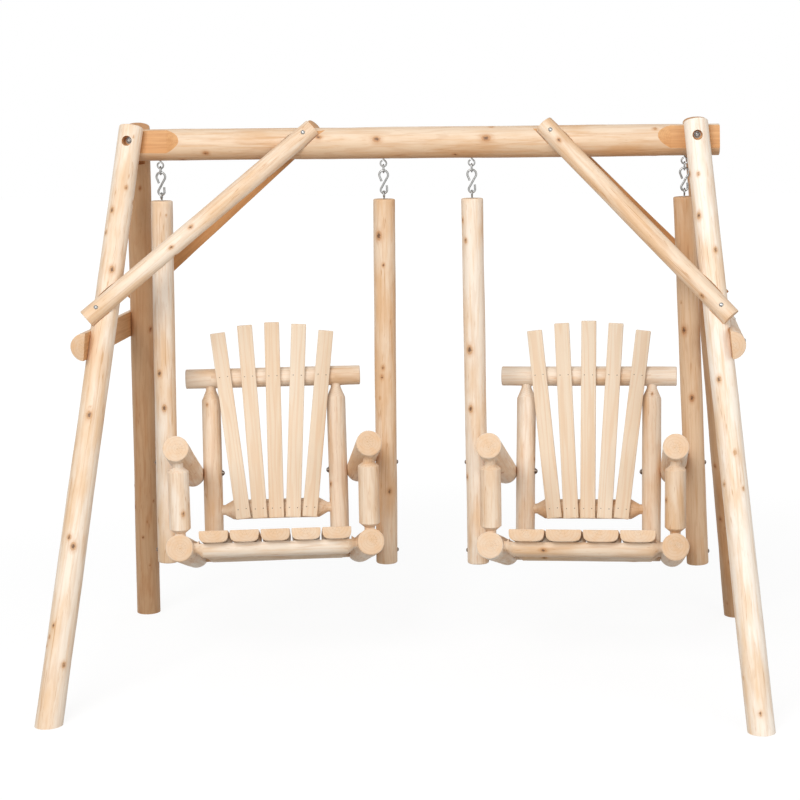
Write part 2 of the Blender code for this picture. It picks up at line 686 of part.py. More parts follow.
    def build_top_rail(self):
        left = self.back_axis(-TOP_RAIL_HALF, TOP_RAIL_HEIGHT)
        right = self.back_axis(TOP_RAIL_HALF, TOP_RAIL_HEIGHT)
        length = (right - left).length
        rail = self.log("top_rail", left, right, plain_profile(length, TOP_RAIL_RADIUS, TOP_RAIL_RADIUS),
                        self.back_normal())
        low = TOP_RAIL_RADIUS - BACK_SLAT_SINK - CLEAR
        reach = BACK_SLAT_TOP_STEP * (BACK_SLATS - 1) / 2 + BACK_SLAT_WIDTH / 2
        flat = block("back_flat", (-REACH, low, length / 2 - reach), (REACH, REACH, length / 2 + reach))
        combine(rail, helper("back_flat", flat, along(left, right, self.back_normal())), "DIFFERENCE")
        return rail

    def build_back_panel(self, posts):
        """The lower back rail with the five fanned slats that are nailed to it."""
        inner = BACK_POST_HALF - BACK_POST_RADIUS
        left = self.back_axis(-inner, LOWER_RAIL_HEIGHT)
        right = self.back_axis(inner, LOWER_RAIL_HEIGHT)
        profile = double_tenon_profile((right - left).length, TOP_RAIL_RADIUS, LOWER_RAIL_SHOULDER)
        rail = self.log("back_panel", left, right, profile, self.back_normal())
        self.mortise(posts[-1], left, left - (right - left))
        self.mortise(posts[1], right, right + (right - left))
        normal = self.back_normal()
        stand_off = normal * (TOP_RAIL_RADIUS - BACK_SLAT_SINK)
        for index in range(BACK_SLATS):
            step = index - (BACK_SLATS - 1) / 2
            low = self.back_axis(step * BACK_SLAT_LOW_STEP, BACK_SLAT_LOW) + stand_off
            top_height = BACK_SLAT_TOP - BACK_SLAT_TOP_DROP * step * step
            high = self.back_axis(step * BACK_SLAT_TOP_STEP, top_height) + stand_off
            half = BACK_SLAT_WIDTH / 2
            length = (high - low).length
            data = block("back_slat", (-half, 0, 0), (half, BACK_SLAT_THICKNESS, length), SLAT_BEVEL)
            combine(rail, helper("back_slat", data, along(low, high, normal)), "UNION")


def build():
    clear_scene()
    root = pivot("frame", (0, 0, 0))
    beam = build_beam(root)
    legs = build_legs(root)
    build_leg_bolts(root, beam, legs)
    build_braces(root, beam, legs)
    build_crossbars(root, legs)
    for name, spec in CHAIRS.items():
        Chair(name, spec, root, beam).build()


build()
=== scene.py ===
# %% [markdown]
# # A peeled-log double chair swing
#
# Two slatted armchairs hang from a log A-frame. The packed solids already give every log, rail and hook
# its place, so this script only dresses them: finer logs with the small swellings of a real tree, knots,
# end grain, hewn flats, sawn slats, galvanised wire, bolts and nails. We load the solids first, because
# every visible piece is laid over one of them and rides on the same moving body.

# %% Load the packed solids
import math
import random

import bmesh
import bpy
import numpy as np
from mathutils import Matrix, Vector, noise


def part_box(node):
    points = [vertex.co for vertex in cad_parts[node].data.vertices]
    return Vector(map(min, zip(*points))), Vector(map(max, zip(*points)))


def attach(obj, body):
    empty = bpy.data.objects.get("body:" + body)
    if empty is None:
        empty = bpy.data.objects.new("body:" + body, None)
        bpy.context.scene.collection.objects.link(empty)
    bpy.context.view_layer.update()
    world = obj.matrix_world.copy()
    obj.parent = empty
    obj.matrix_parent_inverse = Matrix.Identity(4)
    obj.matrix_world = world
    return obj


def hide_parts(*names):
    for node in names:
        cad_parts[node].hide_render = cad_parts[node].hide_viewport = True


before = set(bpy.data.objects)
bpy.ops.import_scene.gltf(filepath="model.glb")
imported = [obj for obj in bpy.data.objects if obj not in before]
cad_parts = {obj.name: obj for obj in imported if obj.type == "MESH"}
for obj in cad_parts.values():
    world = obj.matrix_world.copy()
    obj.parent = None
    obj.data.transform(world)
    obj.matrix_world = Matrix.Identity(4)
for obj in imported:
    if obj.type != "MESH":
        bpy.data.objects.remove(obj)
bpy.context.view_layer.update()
print("solids loaded:", len(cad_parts))

# %% [markdown]
# ## The camera
#
# A product photograph is taken from a little above and to one side, with a long lens so that the legs
# don't splay. The view is written as a place, three turns and a lens, and the small sideways shift puts
# the swing where the picture frames it. Building the camera's matrix from its own right, up and forward
# directions is easier to follow than guessing three Euler angles.

# %% Camera
CAMERA_PLACE = Vector((0.749, -7.218, 2.194))
CAMERA_PITCH = math.radians(9.241)
CAMERA_YAW = math.radians(3.795)
CAMERA_ROLL = math.radians(-0.703)
CAMERA_LENS = 89.165
CAMERA_SHIFT = -0.1125
CAMERA_REACH = 100.0


def camera_matrix():
    level_right = Vector((math.cos(CAMERA_YAW), math.sin(CAMERA_YAW), 0))
    level_forward = Vector((-math.sin(CAMERA_YAW), math.cos(CAMERA_YAW), 0))
    up = Vector((0, 0, 1))
    forward = level_forward * math.cos(CAMERA_PITCH) - up * math.sin(CAMERA_PITCH)
    pitched_up = up * math.cos(CAMERA_PITCH) + level_forward * math.sin(CAMERA_PITCH)
    right = level_right * math.cos(CAMERA_ROLL) + pitched_up * math.sin(CAMERA_ROLL)
    rolled_up = pitched_up * math.cos(CAMERA_ROLL) - level_right * math.sin(CAMERA_ROLL)
    turn = Matrix((right, rolled_up, -forward)).transposed()
    return Matrix.Translation(CAMERA_PLACE) @ turn.to_4x4()


camera_data = bpy.data.cameras.new("view")
camera_data.lens = CAMERA_LENS
camera_data.shift_x = CAMERA_SHIFT
camera_data.clip_end = CAMERA_REACH
camera = bpy.data.objects.new("view", camera_data)
bpy.context.scene.collection.objects.link(camera)
camera.matrix_world = camera_matrix()
bpy.context.scene.camera = camera
print("camera stands", round(-CAMERA_PLACE.y, 2), "m in front of the beam")

# %% [markdown]
# ## Short names for shader nodes
#
# A procedural material is a small graph. Naming each kind of node once keeps the recipes below short
# enough to read as recipes: take the grain coordinate, stretch it, make noise from it, mix two colours. A
# Mix node hides its colour sockets behind the ones for numbers, so their places are named here too.

# %% Shader recipe helper
MIX_SHARE, MIX_FIRST, MIX_SECOND, MIX_RESULT = 0, 6, 7, 2


def colour(red, green, blue):
    return (red, green, blue, 1.0)


class Recipe:
    """A material, or the world, under construction, with one short method for each kind of node."""

    def __init__(self, name, owner=None):
        self.owner = owner or bpy.data.materials.new(name)
        self.owner.use_nodes = True
        self.nodes = self.owner.node_tree.nodes
        self.links = self.owner.node_tree.links

    def feed(self, socket, value):
        """Link an output to a socket, or write a plain number or colour on it."""
        if isinstance(value, bpy.types.NodeSocket):
            self.links.new(value, socket)
        else:
            socket.default_value = value

    def add(self, kind, inputs=None, **settings):
        """Make a node, choose its options and feed its sockets."""
        made = self.nodes.new(f"ShaderNode{kind}")
        for key, value in settings.items():
            setattr(made, key, value)
        for socket, value in (inputs or {}).items():
            self.feed(made.inputs[socket], value)
        return made

    def surface(self, socket, value):
        self.feed(self.nodes["Principled BSDF"].inputs[socket], value)

    def attribute(self, name, output):
        return self.add("Attribute", attribute_name=name).outputs[output]

    def stretch(self, vector, scale):
        return self.add("Mapping", {"Vector": vector, "Scale": scale}).outputs["Vector"]

    def noise(self, vector, scale=1.0, detail=3.0, roughness=0.55):
        inputs = {"Vector": vector, "Scale": scale, "Detail": detail, "Roughness": roughness}
        return self.add("TexNoise", inputs).outputs["Fac"]

    def math(self, operation, first, second=0.0):
        return self.add("Math", {0: first, 1: second}, operation=operation).outputs[0]

    def vector(self, operation, first, second=(0, 0, 0), output="Vector"):
        return self.add("VectorMath", {0: first, 1: second}, operation=operation).outputs[output]

    def span(self, value, low, high, to_low=0.0, to_high=1.0):
        """Ease a value from the range low to high into another range."""
        inputs = {"Value": value, "From Min": low, "From Max": high, "To Min": to_low, "To Max": to_high}
        return self.add("MapRange", inputs, interpolation_type="SMOOTHSTEP").outputs["Result"]

    def mix(self, share, first, second, blend="MIX"):
        inputs = {MIX_SHARE: share, MIX_FIRST: first, MIX_SECOND: second}
        return self.add("Mix", inputs, data_type="RGBA", blend_type=blend).outputs[MIX_RESULT]

    def veil(self, base, over, value, band):
        """Lay a colour over the base; a band is two levels of a value and the thickness at each."""
        return self.mix(self.span(value, *band), base, over)

    def bump(self, height, strength, distance):
        made = self.add("Bump", {"Height": height, "Strength": strength, "Distance": distance})
        self.surface("Normal", made.outputs["Normal"])


print("node names ready:", [name for name in vars(Recipe) if not name.startswith("_")])

# %% [markdown]
# ## The floor
#
# The swing stands on a pale sweep, as in a studio. The floor is white to the camera but still takes a
# faint shadow: a part of its white comes from a little glow that only the camera, mirrors and glass see,
# and the rest is ordinary paint that the lamps light. Stronger lamps would whiten the floor too, but they
# would also bleach the wood. The glow is weaker round the swing, where the shadow falls, than far away,
# where the floor has to meet the white background.

# %% Floor
FLOOR_HALF = 30.0
FLOOR_DROP = 0.0005
FLOOR_PAINT = colour(0.50, 0.50, 0.50)
FLOOR_GLOW_NEAR = 0.88
FLOOR_GLOW_FAR = 0.97
FLOOR_NEAR = 2.0
FLOOR_FAR = 6.0
FLOOR_PAINT_SHARE = 0.30


def seen_directly(recipe):
    """1 for rays from the camera, a mirror or glass, and 0 for the light that falls on things."""
    path = recipe.add("LightPath")
    shown = recipe.math("MAXIMUM", path.outputs["Is Camera Ray"], path.outputs["Is Glossy Ray"])
    return recipe.math("MAXIMUM", shown, path.outputs["Is Transmission Ray"])


def floor_paint():
    recipe = Recipe("stage_floor")
    paint = recipe.add("BsdfDiffuse", {"Color": FLOOR_PAINT}).outputs[0]
    away = recipe.vector("LENGTH", recipe.add("TexCoord").outputs["Object"], output="Value")
    share = 1 - FLOOR_PAINT_SHARE
    level = recipe.span(away, FLOOR_NEAR, FLOOR_FAR, FLOOR_GLOW_NEAR / share, FLOOR_GLOW_FAR / share)
    glow = recipe.add("Emission", {"Strength": level}).outputs[0]
    shown = recipe.add("MixShader", {0: FLOOR_PAINT_SHARE, 1: glow, 2: paint}).outputs[0]
    both = recipe.add("MixShader", {0: seen_directly(recipe), 1: paint, 2: shown}).outputs[0]
    recipe.feed(recipe.nodes["Material Output"].inputs["Surface"], both)
    return recipe.owner


def build_floor():
    bm = bmesh.new()
    bmesh.ops.create_grid(bm, x_segments=2, y_segments=2, size=FLOOR_HALF)
    bmesh.ops.translate(bm, verts=bm.verts, vec=(0, 0, -FLOOR_DROP))
    data = bpy.data.meshes.new("stage_floor")
    bm.to_mesh(data)
    bm.free()
    data.materials.append(floor_paint())
    floor = bpy.data.objects.new("stage_floor", data)
    bpy.context.scene.collection.objects.link(floor)


build_floor()
print("floor reaches", FLOOR_HALF, "m each way")

# %% [markdown]
# ## The light
#
# A large lamp in front, high and to the left, gives each log its soft shading, and a weak one on the
# right lifts the dark sides. The sky fills the rest; on its own it would leave the logs looking flat. It
# is white to the camera, like the floor, but lights the wood at half that strength, so that pale wood
# keeps its colour.

# %% Light
SKY_STRENGTH = 0.50
KEY_PLACE = Vector((-1.9, -8.0, 5.8))
KEY_SIZE = 4.5
KEY_POWER = 565.0
FILL_PLACE = Vector((5.0, -6.0, 3.0))
FILL_SIZE = 4.0
FILL_POWER = 130.0
LIGHT_AIM = Vector((0, 0, 1.0))


def build_world():
    world = bpy.data.worlds.new("studio")
    bpy.context.scene.world = world
    recipe = Recipe("studio", world)
    sky = recipe.nodes["Background"].inputs
    recipe.feed(sky["Color"], colour(1, 1, 1))
    recipe.feed(sky["Strength"], recipe.span(seen_directly(recipe), 0, 1, SKY_STRENGTH, 1))


def area_light(name, place, size, power):
    data = bpy.data.lights.new(name, "AREA")
    data.size = size
    data.energy = power
    lamp = bpy.data.objects.new(name, data)
    bpy.context.scene.collection.objects.link(lamp)
    lamp.location = place
    lamp.rotation_mode = "QUATERNION"
    lamp.rotation_quaternion = (LIGHT_AIM - place).to_track_quat("-Z", "Y")


build_world()
area_light("key_light", KEY_PLACE, KEY_SIZE, KEY_POWER)
area_light("fill_light", FILL_PLACE, FILL_SIZE, FILL_POWER)
bpy.context.scene.view_settings.view_transform = "Standard"
print("lamps:", KEY_POWER, "W and", FILL_POWER, "W")

# %% [markdown]
# ## What all the wood shares
#
# Wood could be wrapped round each log as a picture, but a picture shows a seam and stops short at a cut.
# So every piece carries a `grain` attribute instead, its own coordinates with Z along the trunk and the
# pith near X = Y = 0. One recipe then fits logs at any angle, and the growth rings show by themselves
# wherever a saw cuts across. A second attribute, `knot`, holds the distance to the nearest branch stub,
# and `tone` makes each log a little lighter or darker; on the rear legs, the rear braces and the beam's
# underside it also carries painted shade. Attributes move with the piece, which keeps the pattern on it.

# %% Wood colours, rings and knots
SAPWOOD = colour(0.83, 0.69, 0.545)
CAMBIUM = colour(0.70, 0.435, 0.225)
STREAK = colour(0.52, 0.265, 0.11)
KNOT_HALO = colour(0.56, 0.28, 0.11)
KNOT_CORE = colour(0.10, 0.047, 0.022)
RING_PITCH = 0.0034
RING_BEND = (22, 22, 1.6)
ACROSS_GRAIN = (1, 1, 0)
KNOT_FRAY = 0.006
KNOT_FRAY_SCALE = 260
KNOT_HALO_BAND = (0.009, 0.022, 0.45, 0.0)
KNOT_RIM_BAND = (0.0095, 0.0130, 0.75, 0.0)
KNOT_CORE_BAND = (0.0060, 0.0092, 0.85, 0.0)
TONE_DEPTHS = {"Red": 1.0, "Green": 1.9, "Blue": 3.0}


def pith_distance(recipe, grain):
    return recipe.vector("LENGTH", recipe.vector("MULTIPLY", grain, ACROSS_GRAIN), output="Value")


def wave(recipe, radius, pitch):
    return recipe.math("SINE", recipe.math("MULTIPLY", radius, math.tau / pitch))


def growth_rings(recipe, grain, wobble):
    """A wave from 0 to 1 that runs outwards from the pith, bent so that no ring is a true circle."""
    bend = recipe.noise(recipe.stretch(grain, RING_BEND), detail=2)
    bent = recipe.math("ADD", pith_distance(recipe, grain), recipe.math("MULTIPLY", bend, wobble))
    half_wave = recipe.math("MULTIPLY", wave(recipe, bent, RING_PITCH), 0.5)
    return recipe.math("ADD", half_wave, 0.5)


def knot_reach(recipe, grain):
    """Distance to the nearest knot, frayed a little so that its edge isn't an ellipse."""
    fray = recipe.noise(grain, scale=KNOT_FRAY_SCALE, detail=2)
    return recipe.math("ADD", recipe.attribute("knot", "Fac"), recipe.math("MULTIPLY", fray, KNOT_FRAY))


def knots_over(recipe, base, grain):
    """Paint the halo, the rim and the dark core of each branch stub over a base colour."""
    reach = knot_reach(recipe, grain)
    shaded = recipe.veil(base, KNOT_HALO, reach, KNOT_HALO_BAND)
    shaded = recipe.veil(shaded, STREAK, reach, KNOT_RIM_BAND)
    return recipe.veil(shaded, KNOT_CORE, reach, KNOT_CORE_BAND)


def toned(recipe, base):
    """Lighten or darken the whole piece by its own tone; a darker log is a browner one."""
    level = recipe.attribute("tone", "Fac")
    tint = recipe.add("CombineColor", {key: recipe.math("POWER", level, depth)
                                       for key, depth in TONE_DEPTHS.items()})
    return recipe.mix(1.0, base, tint.outputs[0], "MULTIPLY")


def finished(recipe, base, roughness):
    recipe.surface("Base Color", toned(recipe, base))
    recipe.surface("Roughness", roughness)
    return recipe.owner


print("growth rings every", RING_PITCH * 1000, "mm")

# %% [markdown]
# ## Peeled logs
#
# A peeled log shows four things: fine streaks along the trunk, broad warm and pale patches, faint contour
# lines where the drawknife crossed a growth ring, and knots. Painting them by hand would be slow work for
# every log. Here each is a noise on the grain, stretched along the trunk, that lays a browner colour over
# the pale sapwood, so that no two logs repeat.

# %% Peeled finish
PEELED_STREAKS = (95, 95, 4.5)
PEELED_PATCHES = (13, 13, 3.4)
PEELED_FLECKS = (330, 330, 22)
PEELED_STRANDS = (46, 46, 1.3)
PEELED_WOBBLE = 0.016
WARM_BAND = (0.40, 0.70, 0.0, 0.75)
STREAK_BAND = (0.46, 0.78, 0.0, 0.65)
CONTOUR_BAND = (0.72, 1.0, 0.0, 0.18)
FLECK_BAND = (0.62, 0.76, 0.0, 0.45)
STRAND_BAND = (0.002, 0.010, 0.6, 0.0)
STRAND_PATCHES = (0.46, 0.54)
KNOT_DIP_BAND = (0.0060, 0.0092, 0.425, 0.0)
STREAK_HEIGHT = 0.6
PEELED_BUMP = (0.35, 0.0012)
PEELED_ROUGHNESS = (0.3, 0.7, 0.52, 0.66)
NOISE_MIDDLE = 0.5


def strand_lines(recipe, grain, patches):
    """Thin dark lines along the trunk, where one noise crosses its middle inside a warm patch."""
    strands = recipe.noise(recipe.stretch(grain, PEELED_STRANDS), detail=2)
    beside = recipe.math("ABSOLUTE", recipe.math("SUBTRACT", strands, NOISE_MIDDLE))
    thin = recipe.span(beside, *STRAND_BAND)
    return recipe.math("MULTIPLY", thin, recipe.span(patches, *STRAND_PATCHES))


def peeled_finish():
    recipe = Recipe("peeled_wood")
    grain = recipe.attribute("grain", "Vector")
    streaks = recipe.noise(recipe.stretch(grain, PEELED_STREAKS), detail=5, roughness=0.62)
    patches = recipe.noise(recipe.stretch(grain, PEELED_PATCHES), detail=4)
    flecks = recipe.noise(recipe.stretch(grain, PEELED_FLECKS), detail=2)
    base = recipe.veil(SAPWOOD, CAMBIUM, patches, WARM_BAND)
    base = recipe.veil(base, CAMBIUM, streaks, STREAK_BAND)
    base = recipe.veil(base, STREAK, growth_rings(recipe, grain, PEELED_WOBBLE), CONTOUR_BAND)
    base = recipe.veil(base, STREAK, flecks, FLECK_BAND)
    base = recipe.mix(strand_lines(recipe, grain, patches), base, STREAK)
    dip = recipe.span(knot_reach(recipe, grain), *KNOT_DIP_BAND)
    raised = recipe.math("MULTIPLY", streaks, STREAK_HEIGHT)
    recipe.bump(recipe.math("SUBTRACT", raised, dip), *PEELED_BUMP)
    rough = recipe.span(streaks, *PEELED_ROUGHNESS)
    return finished(recipe, knots_over(recipe, base, grain), rough)


PEELED = peeled_finish()
print("finish made:", PEELED.name)

# %% [markdown]
# ## Sawn ends
#
# Where a saw crosses a log it bares the rings, a dark pith and fine drying cracks. The rings are waves of
# the distance from the pith, so they come out round on a square cut and oval on a slanting one, which a
# flat picture of rings couldn't do. The cracks are noise on the direction out from the pith.

# %% End grain
END_WOOD = colour(0.745, 0.558, 0.395)
END_RING = colour(0.60, 0.36, 0.185)
CRACK = colour(0.20, 0.105, 0.05)
HEWN = colour(0.73, 0.43, 0.205)
END_PATCHES = (38, 38, 3)
END_WOBBLE = 0.004
WIDE_RING_PITCH = 0.0107
CRACK_SPREAD = (5.5, 5.5, 1)
CRACK_BAND = (0.003, 0.008, 0.6, 0.0)
CRACK_LENGTH_BAND = (0.012, 0.034, 1.0, 0.0)
END_PATCH_BAND = (0.35, 0.7, 0.0, 0.4)
WIDE_RING_BAND = (0.35, 0.95, 0.0, 0.24)
END_RING_BAND = (0.55, 0.98, 0.0, 0.45)
PITH_BAND = (0.002, 0.0045, 0.6, 0.0)
END_BUMP = (0.3, 0.0006)
END_ROUGHNESS = 0.72


def drying_cracks(recipe, grain, radius):
    """Lines that run out from the pith and end before the rim."""
    outward = recipe.vector("NORMALIZE", recipe.vector("MULTIPLY", grain, ACROSS_GRAIN))
    rays = recipe.noise(recipe.stretch(outward, CRACK_SPREAD), detail=2)
    beside = recipe.math("ABSOLUTE", recipe.math("SUBTRACT", rays, NOISE_MIDDLE))
    split = recipe.span(beside, *CRACK_BAND)
    return recipe.math("MULTIPLY", split, recipe.span(radius, *CRACK_LENGTH_BAND))


def end_finish():
    recipe = Recipe("end_grain")
    grain = recipe.attribute("grain", "Vector")
    radius = pith_distance(recipe, grain)
    rings = growth_rings(recipe, grain, END_WOBBLE)
    cracks = drying_cracks(recipe, grain, radius)
    patches = recipe.noise(recipe.stretch(grain, END_PATCHES), detail=3)
    swerve = recipe.math("MULTIPLY", patches, WIDE_RING_PITCH)
    wide = wave(recipe, recipe.math("ADD", radius, swerve), WIDE_RING_PITCH)
    base = recipe.veil(END_WOOD, HEWN, patches, END_PATCH_BAND)
    base = recipe.veil(base, END_RING, wide, WIDE_RING_BAND)
    base = recipe.veil(base, END_RING, rings, END_RING_BAND)
    base = recipe.mix(cracks, base, CRACK)
    base = recipe.veil(base, END_RING, radius, PITH_BAND)
    recipe.bump(recipe.math("SUBTRACT", rings, cracks), *END_BUMP)
    return finished(recipe, base, END_ROUGHNESS)


END_GRAIN = end_finish()
print("finish made:", END_GRAIN.name)

# %% [markdown]
# ## Hewn flats
#
# A flat that was planed into the round is browner than the round, and it keeps the ripple that the cutter
# leaves. The ripple could be modelled, but for something this shallow a bump is enough.

# %% Hewn finish
HEWN_DARK = colour(0.58, 0.30, 0.125)
HEWN_STREAKS = (110, 110, 6)
HEWN_RIPPLE = (12, 12, 120)
HEWN_WOBBLE = 0.010
HEWN_STREAK_BAND = (0.38, 0.72, 0.0, 0.8)
HEWN_RING_BAND = (0.55, 1.0, 0.0, 0.35)
HEWN_BUMP = (0.3, 0.0012)
HEWN_ROUGHNESS = 0.66


def hewn_finish():
    recipe = Recipe("hewn_wood")
    grain = recipe.attribute("grain", "Vector")
    streaks = recipe.noise(recipe.stretch(grain, HEWN_STREAKS), detail=4)
    ripple = recipe.noise(recipe.stretch(grain, HEWN_RIPPLE), detail=2)
    base = recipe.veil(HEWN, HEWN_DARK, streaks, HEWN_STREAK_BAND)
    base = recipe.veil(base, HEWN_DARK, growth_rings(recipe, grain, HEWN_WOBBLE), HEWN_RING_BAND)
    recipe.bump(recipe.math("ADD", streaks, ripple), *HEWN_BUMP)
    return finished(recipe, knots_over(recipe, base, grain), HEWN_ROUGHNESS)


HEWN_WOOD = hewn_finish()
print("finish made:", HEWN_WOOD.name)

# %% [markdown]
# ## Sawn slats
#
# The slats are sawn and sanded boards, paler than the logs, with straight grain lines and few knots. A
# recipe of their own could be quite different, but real slats come from the same trees, so they take the
# same rings and knots, and only the colours and strengths change.

# %% Slat finish
SLAT_WOOD = colour(0.80, 0.67, 0.52)
SLAT_GRAIN = colour(0.73, 0.53, 0.35)
SLAT_STREAKS = (160, 160, 3.5)
SLAT_PATCHES = (11, 11, 1.8)
SLAT_WOBBLE = 0.012
SLAT_PATCH_BAND = (0.4, 0.75, 0.0, 0.45)
SLAT_STREAK_BAND = (0.45, 0.78, 0.0, 0.5)
SLAT_RING_BAND = (0.6, 1.0, 0.0, 0.28)
SLAT_BUMP = (0.25, 0.0008)
SLAT_ROUGHNESS = 0.62


def slat_finish():
    recipe = Recipe("sawn_slat")
    grain = recipe.attribute("grain", "Vector")
    streaks = recipe.noise(recipe.stretch(grain, SLAT_STREAKS), detail=4, roughness=0.6)
    patches = recipe.noise(recipe.stretch(grain, SLAT_PATCHES), detail=2)
    base = recipe.veil(SLAT_WOOD, SLAT_GRAIN, patches, SLAT_PATCH_BAND)
    base = recipe.veil(base, SLAT_GRAIN, streaks, SLAT_STREAK_BAND)
    base = recipe.veil(base, CAMBIUM, growth_rings(recipe, grain, SLAT_WOBBLE), SLAT_RING_BAND)
    recipe.bump(streaks, *SLAT_BUMP)
    return finished(recipe, knots_over(recipe, base, grain), SLAT_ROUGHNESS)


SAWN_SLAT = slat_finish()
ROUND_SLOT, END_SLOT, FLAT_SLOT = 0, 1, 2
LOG_FINISHES = (PEELED, END_GRAIN, HEWN_WOOD)
SEAT_SLAT_FINISHES = (PEELED, END_GRAIN, SAWN_SLAT)
BACK_SLAT_FINISHES = (SAWN_SLAT, END_GRAIN)
print("finish made:", SAWN_SLAT.name)

# %% [markdown]
# ## Galvanised steel
#
# The eyes, links, hooks, bolts and washers are zinc-coated steel: grey, softly mirrored, with a mottled
# spangle. A single even grey would look like plastic. Noise on the colour and the roughness does most of
# the work, and a slight bump breaks the mirror.

# %% Steel finish
ZINC = colour(0.42, 0.42, 0.41)
ZINC_DULL = colour(0.20, 0.20, 0.195)
NAIL_GREY = colour(0.23, 0.20, 0.17)
SPANGLE_SCALE = 260
SCUFF_SCALE = 1400
SPANGLE_BAND = (0.38, 0.68, 0.0, 1.0)
STEEL_ROUGHNESS = (0.3, 0.7, 0.26, 0.46)
SCUFF_BUMP = (0.2, 0.0002)


def steel_finish(name, bright, dull):
    recipe = Recipe(name)
    place = recipe.add("TexCoord").outputs["Object"]
    spangle = recipe.noise(place, scale=SPANGLE_SCALE, detail=4)
    recipe.surface("Base Color", recipe.veil(bright, dull, spangle, SPANGLE_BAND))
    recipe.surface("Metallic", 1.0)
    recipe.surface("Roughness", recipe.span(spangle, *STEEL_ROUGHNESS))
    recipe.bump(recipe.noise(place, scale=SCUFF_SCALE, detail=2), *SCUFF_BUMP)
    return recipe.owner


GALVANISED = steel_finish("galvanised_wire", ZINC, ZINC_DULL)
NAIL_STEEL = steel_finish("nail_steel", NAIL_GREY, KNOT_CORE)
print("steel finishes:", GALVANISED.name, NAIL_STEEL.name)

# %% [markdown]
# ## Where the frame's pieces lie
#
# The solids were made from a few driving sizes: the beam, the legs' feet, the slope of the seat, the lean
# of the back. The same sizes are written here in metres, so that each log of the dressed model lies on
# the axis of its solid. They could be measured on the solids' meshes, but a size that is written down can
# be read and changed. After each log is made, its box is compared with the solid's box.

# %% Driving sizes of the frame
BEAM_HEIGHT = 1.965
BEAM_LEFT_REACH = 1.072
BEAM_RIGHT_REACH = 1.108
BEAM_RADIUS = 0.0572
BEAM_FLAT = 0.038
LEG_TOP_X = 1.0255
LEG_FOOT_X = 1.225
LEG_FOOT_Y = 0.741
LEG_RISE = 0.048
LEG_TOP_RADIUS = 0.0435
LEG_FOOT_RADIUS = 0.048
LEG_FLAT = 0.030
LEG_OVERCUT = 0.06
LEG_LEAN = math.atan2(LEG_FOOT_Y - (BEAM_FLAT + LEG_FLAT), BEAM_HEIGHT)
CLEAR = 0.0003
UP = Vector((0, 0, 1))
SIDES = {-1: "left", 1: "right"}
FACES = {-1: "front", 1: "rear"}


def leg_normal(front):
    """Points out of the frame, square to the legs of one side."""
    return Vector((0, front * math.cos(LEG_LEAN), math.sin(LEG_LEAN)))


def leg_ends(side, front):
    at_beam = Vector((side * LEG_TOP_X, 0, BEAM_HEIGHT))
    at_beam += leg_normal(front) * (BEAM_FLAT + LEG_FLAT + CLEAR)
    foot = Vector((side * LEG_FOOT_X, front * LEG_FOOT_Y, 0))
    run = (at_beam - foot).normalized()
    return foot - run * LEG_OVERCUT, at_beam + run * LEG_RISE


def leg_at(side, front, height):
    foot, top = leg_ends(side, front)
    return foot + (top - foot) * ((height - foot.z) / (top.z - foot.z))


def leg_radius(height):
    return LEG_FOOT_RADIUS + (LEG_TOP_RADIUS - LEG_FOOT_RADIUS) * height / BEAM_HEIGHT


def along(start, end, outward=UP):
    """Local Z runs from start to end, local Y faces outward and local X fills in."""
    z_axis = (end - start).normalized()
    y_axis = (outward - z_axis * outward.dot(z_axis)).normalized()
    turn = Matrix((y_axis.cross(z_axis), y_axis, z_axis)).transposed()
    return Matrix.Translation(start) @ turn.to_4x4()


print("legs lean", round(math.degrees(LEG_LEAN), 1), "degrees from upright")

# %% [markdown]
# ## The shape of a log
#
# On the bench a log is a trunk with its bark peeled off and its sawn ends eased with a rasp. A cylinder
# from the Add menu would have bare, sharp rims, so here a log is a profile of heights and radii, spun
# about its own axis. The profile gets a point every few millimetres, so that the log can swell and dip as
# wood does.

# %% Log profiles
LOG_SIDES = 44
RING_STEP = 0.009
EDGE_ROUND = 0.0045
EDGE_STEPS = 3
CAP_RINGS = (0.35, 0.7)
TOUCHING = 1e-6
END_FACING = 0.9


def eased_end(height, toward, radius):
    """Pairs of height and radius for an end with a rounded edge, from the cap's middle outwards."""
    inner = radius - EDGE_ROUND
    pairs = [(height, 0.0)] + [(height, inner * share) for share in CAP_RINGS]
    for step in range(EDGE_STEPS + 1):
        angle = math.pi / 2 * step / EDGE_STEPS
        back = EDGE_ROUND * (1 - math.cos(angle))
        pairs.append((height - toward * back, inner + EDGE_ROUND * math.sin(angle)))
    return pairs


def finely(pairs):
    """Add points to every long stretch of a profile, but not across a flat cap."""
    fine = [pairs[0]]
    for (low, first), (high, last) in zip(pairs, pairs[1:]):
        count = max(1, round(math.hypot(high - low, last - first) / RING_STEP))
        if low == high:
            count = 1
        for step in range(1, count + 1):
            share = step / count
            fine.append((low + (high - low) * share, first + (last - first) * share))
    return fine


def plain_profile(length, low, high):
    return finely(eased_end(0, -1, low) + eased_end(length, 1, high)[::-1])


def spun(profile, sides=LOG_SIDES):
    """Spin a profile of (height, radius) pairs about Z into a closed solid."""
    bm = bmesh.new()
    points = [bm.verts.new((radius, 0, height)) for height, radius in profile]
    edges = [bm.edges.new(pair) for pair in zip(points, points[1:])]
    bmesh.ops.spin(bm, geom=points + edges, axis=(0, 0, 1), cent=(0, 0, 0), angle=math.tau,
                   steps=sides, use_merge=True)
    bmesh.ops.remove_doubles(bm, verts=bm.verts, dist=TOUCHING)
    bmesh.ops.recalc_face_normals(bm, faces=bm.faces)
    return bm


def mark_ends(bm):
    for face in bm.faces:
        face.material_index = END_SLOT if abs(face.normal.z) > END_FACING else ROUND_SLOT


print("a metre of log has", round(1 / RING_STEP), "rings of", LOG_SIDES, "sides")

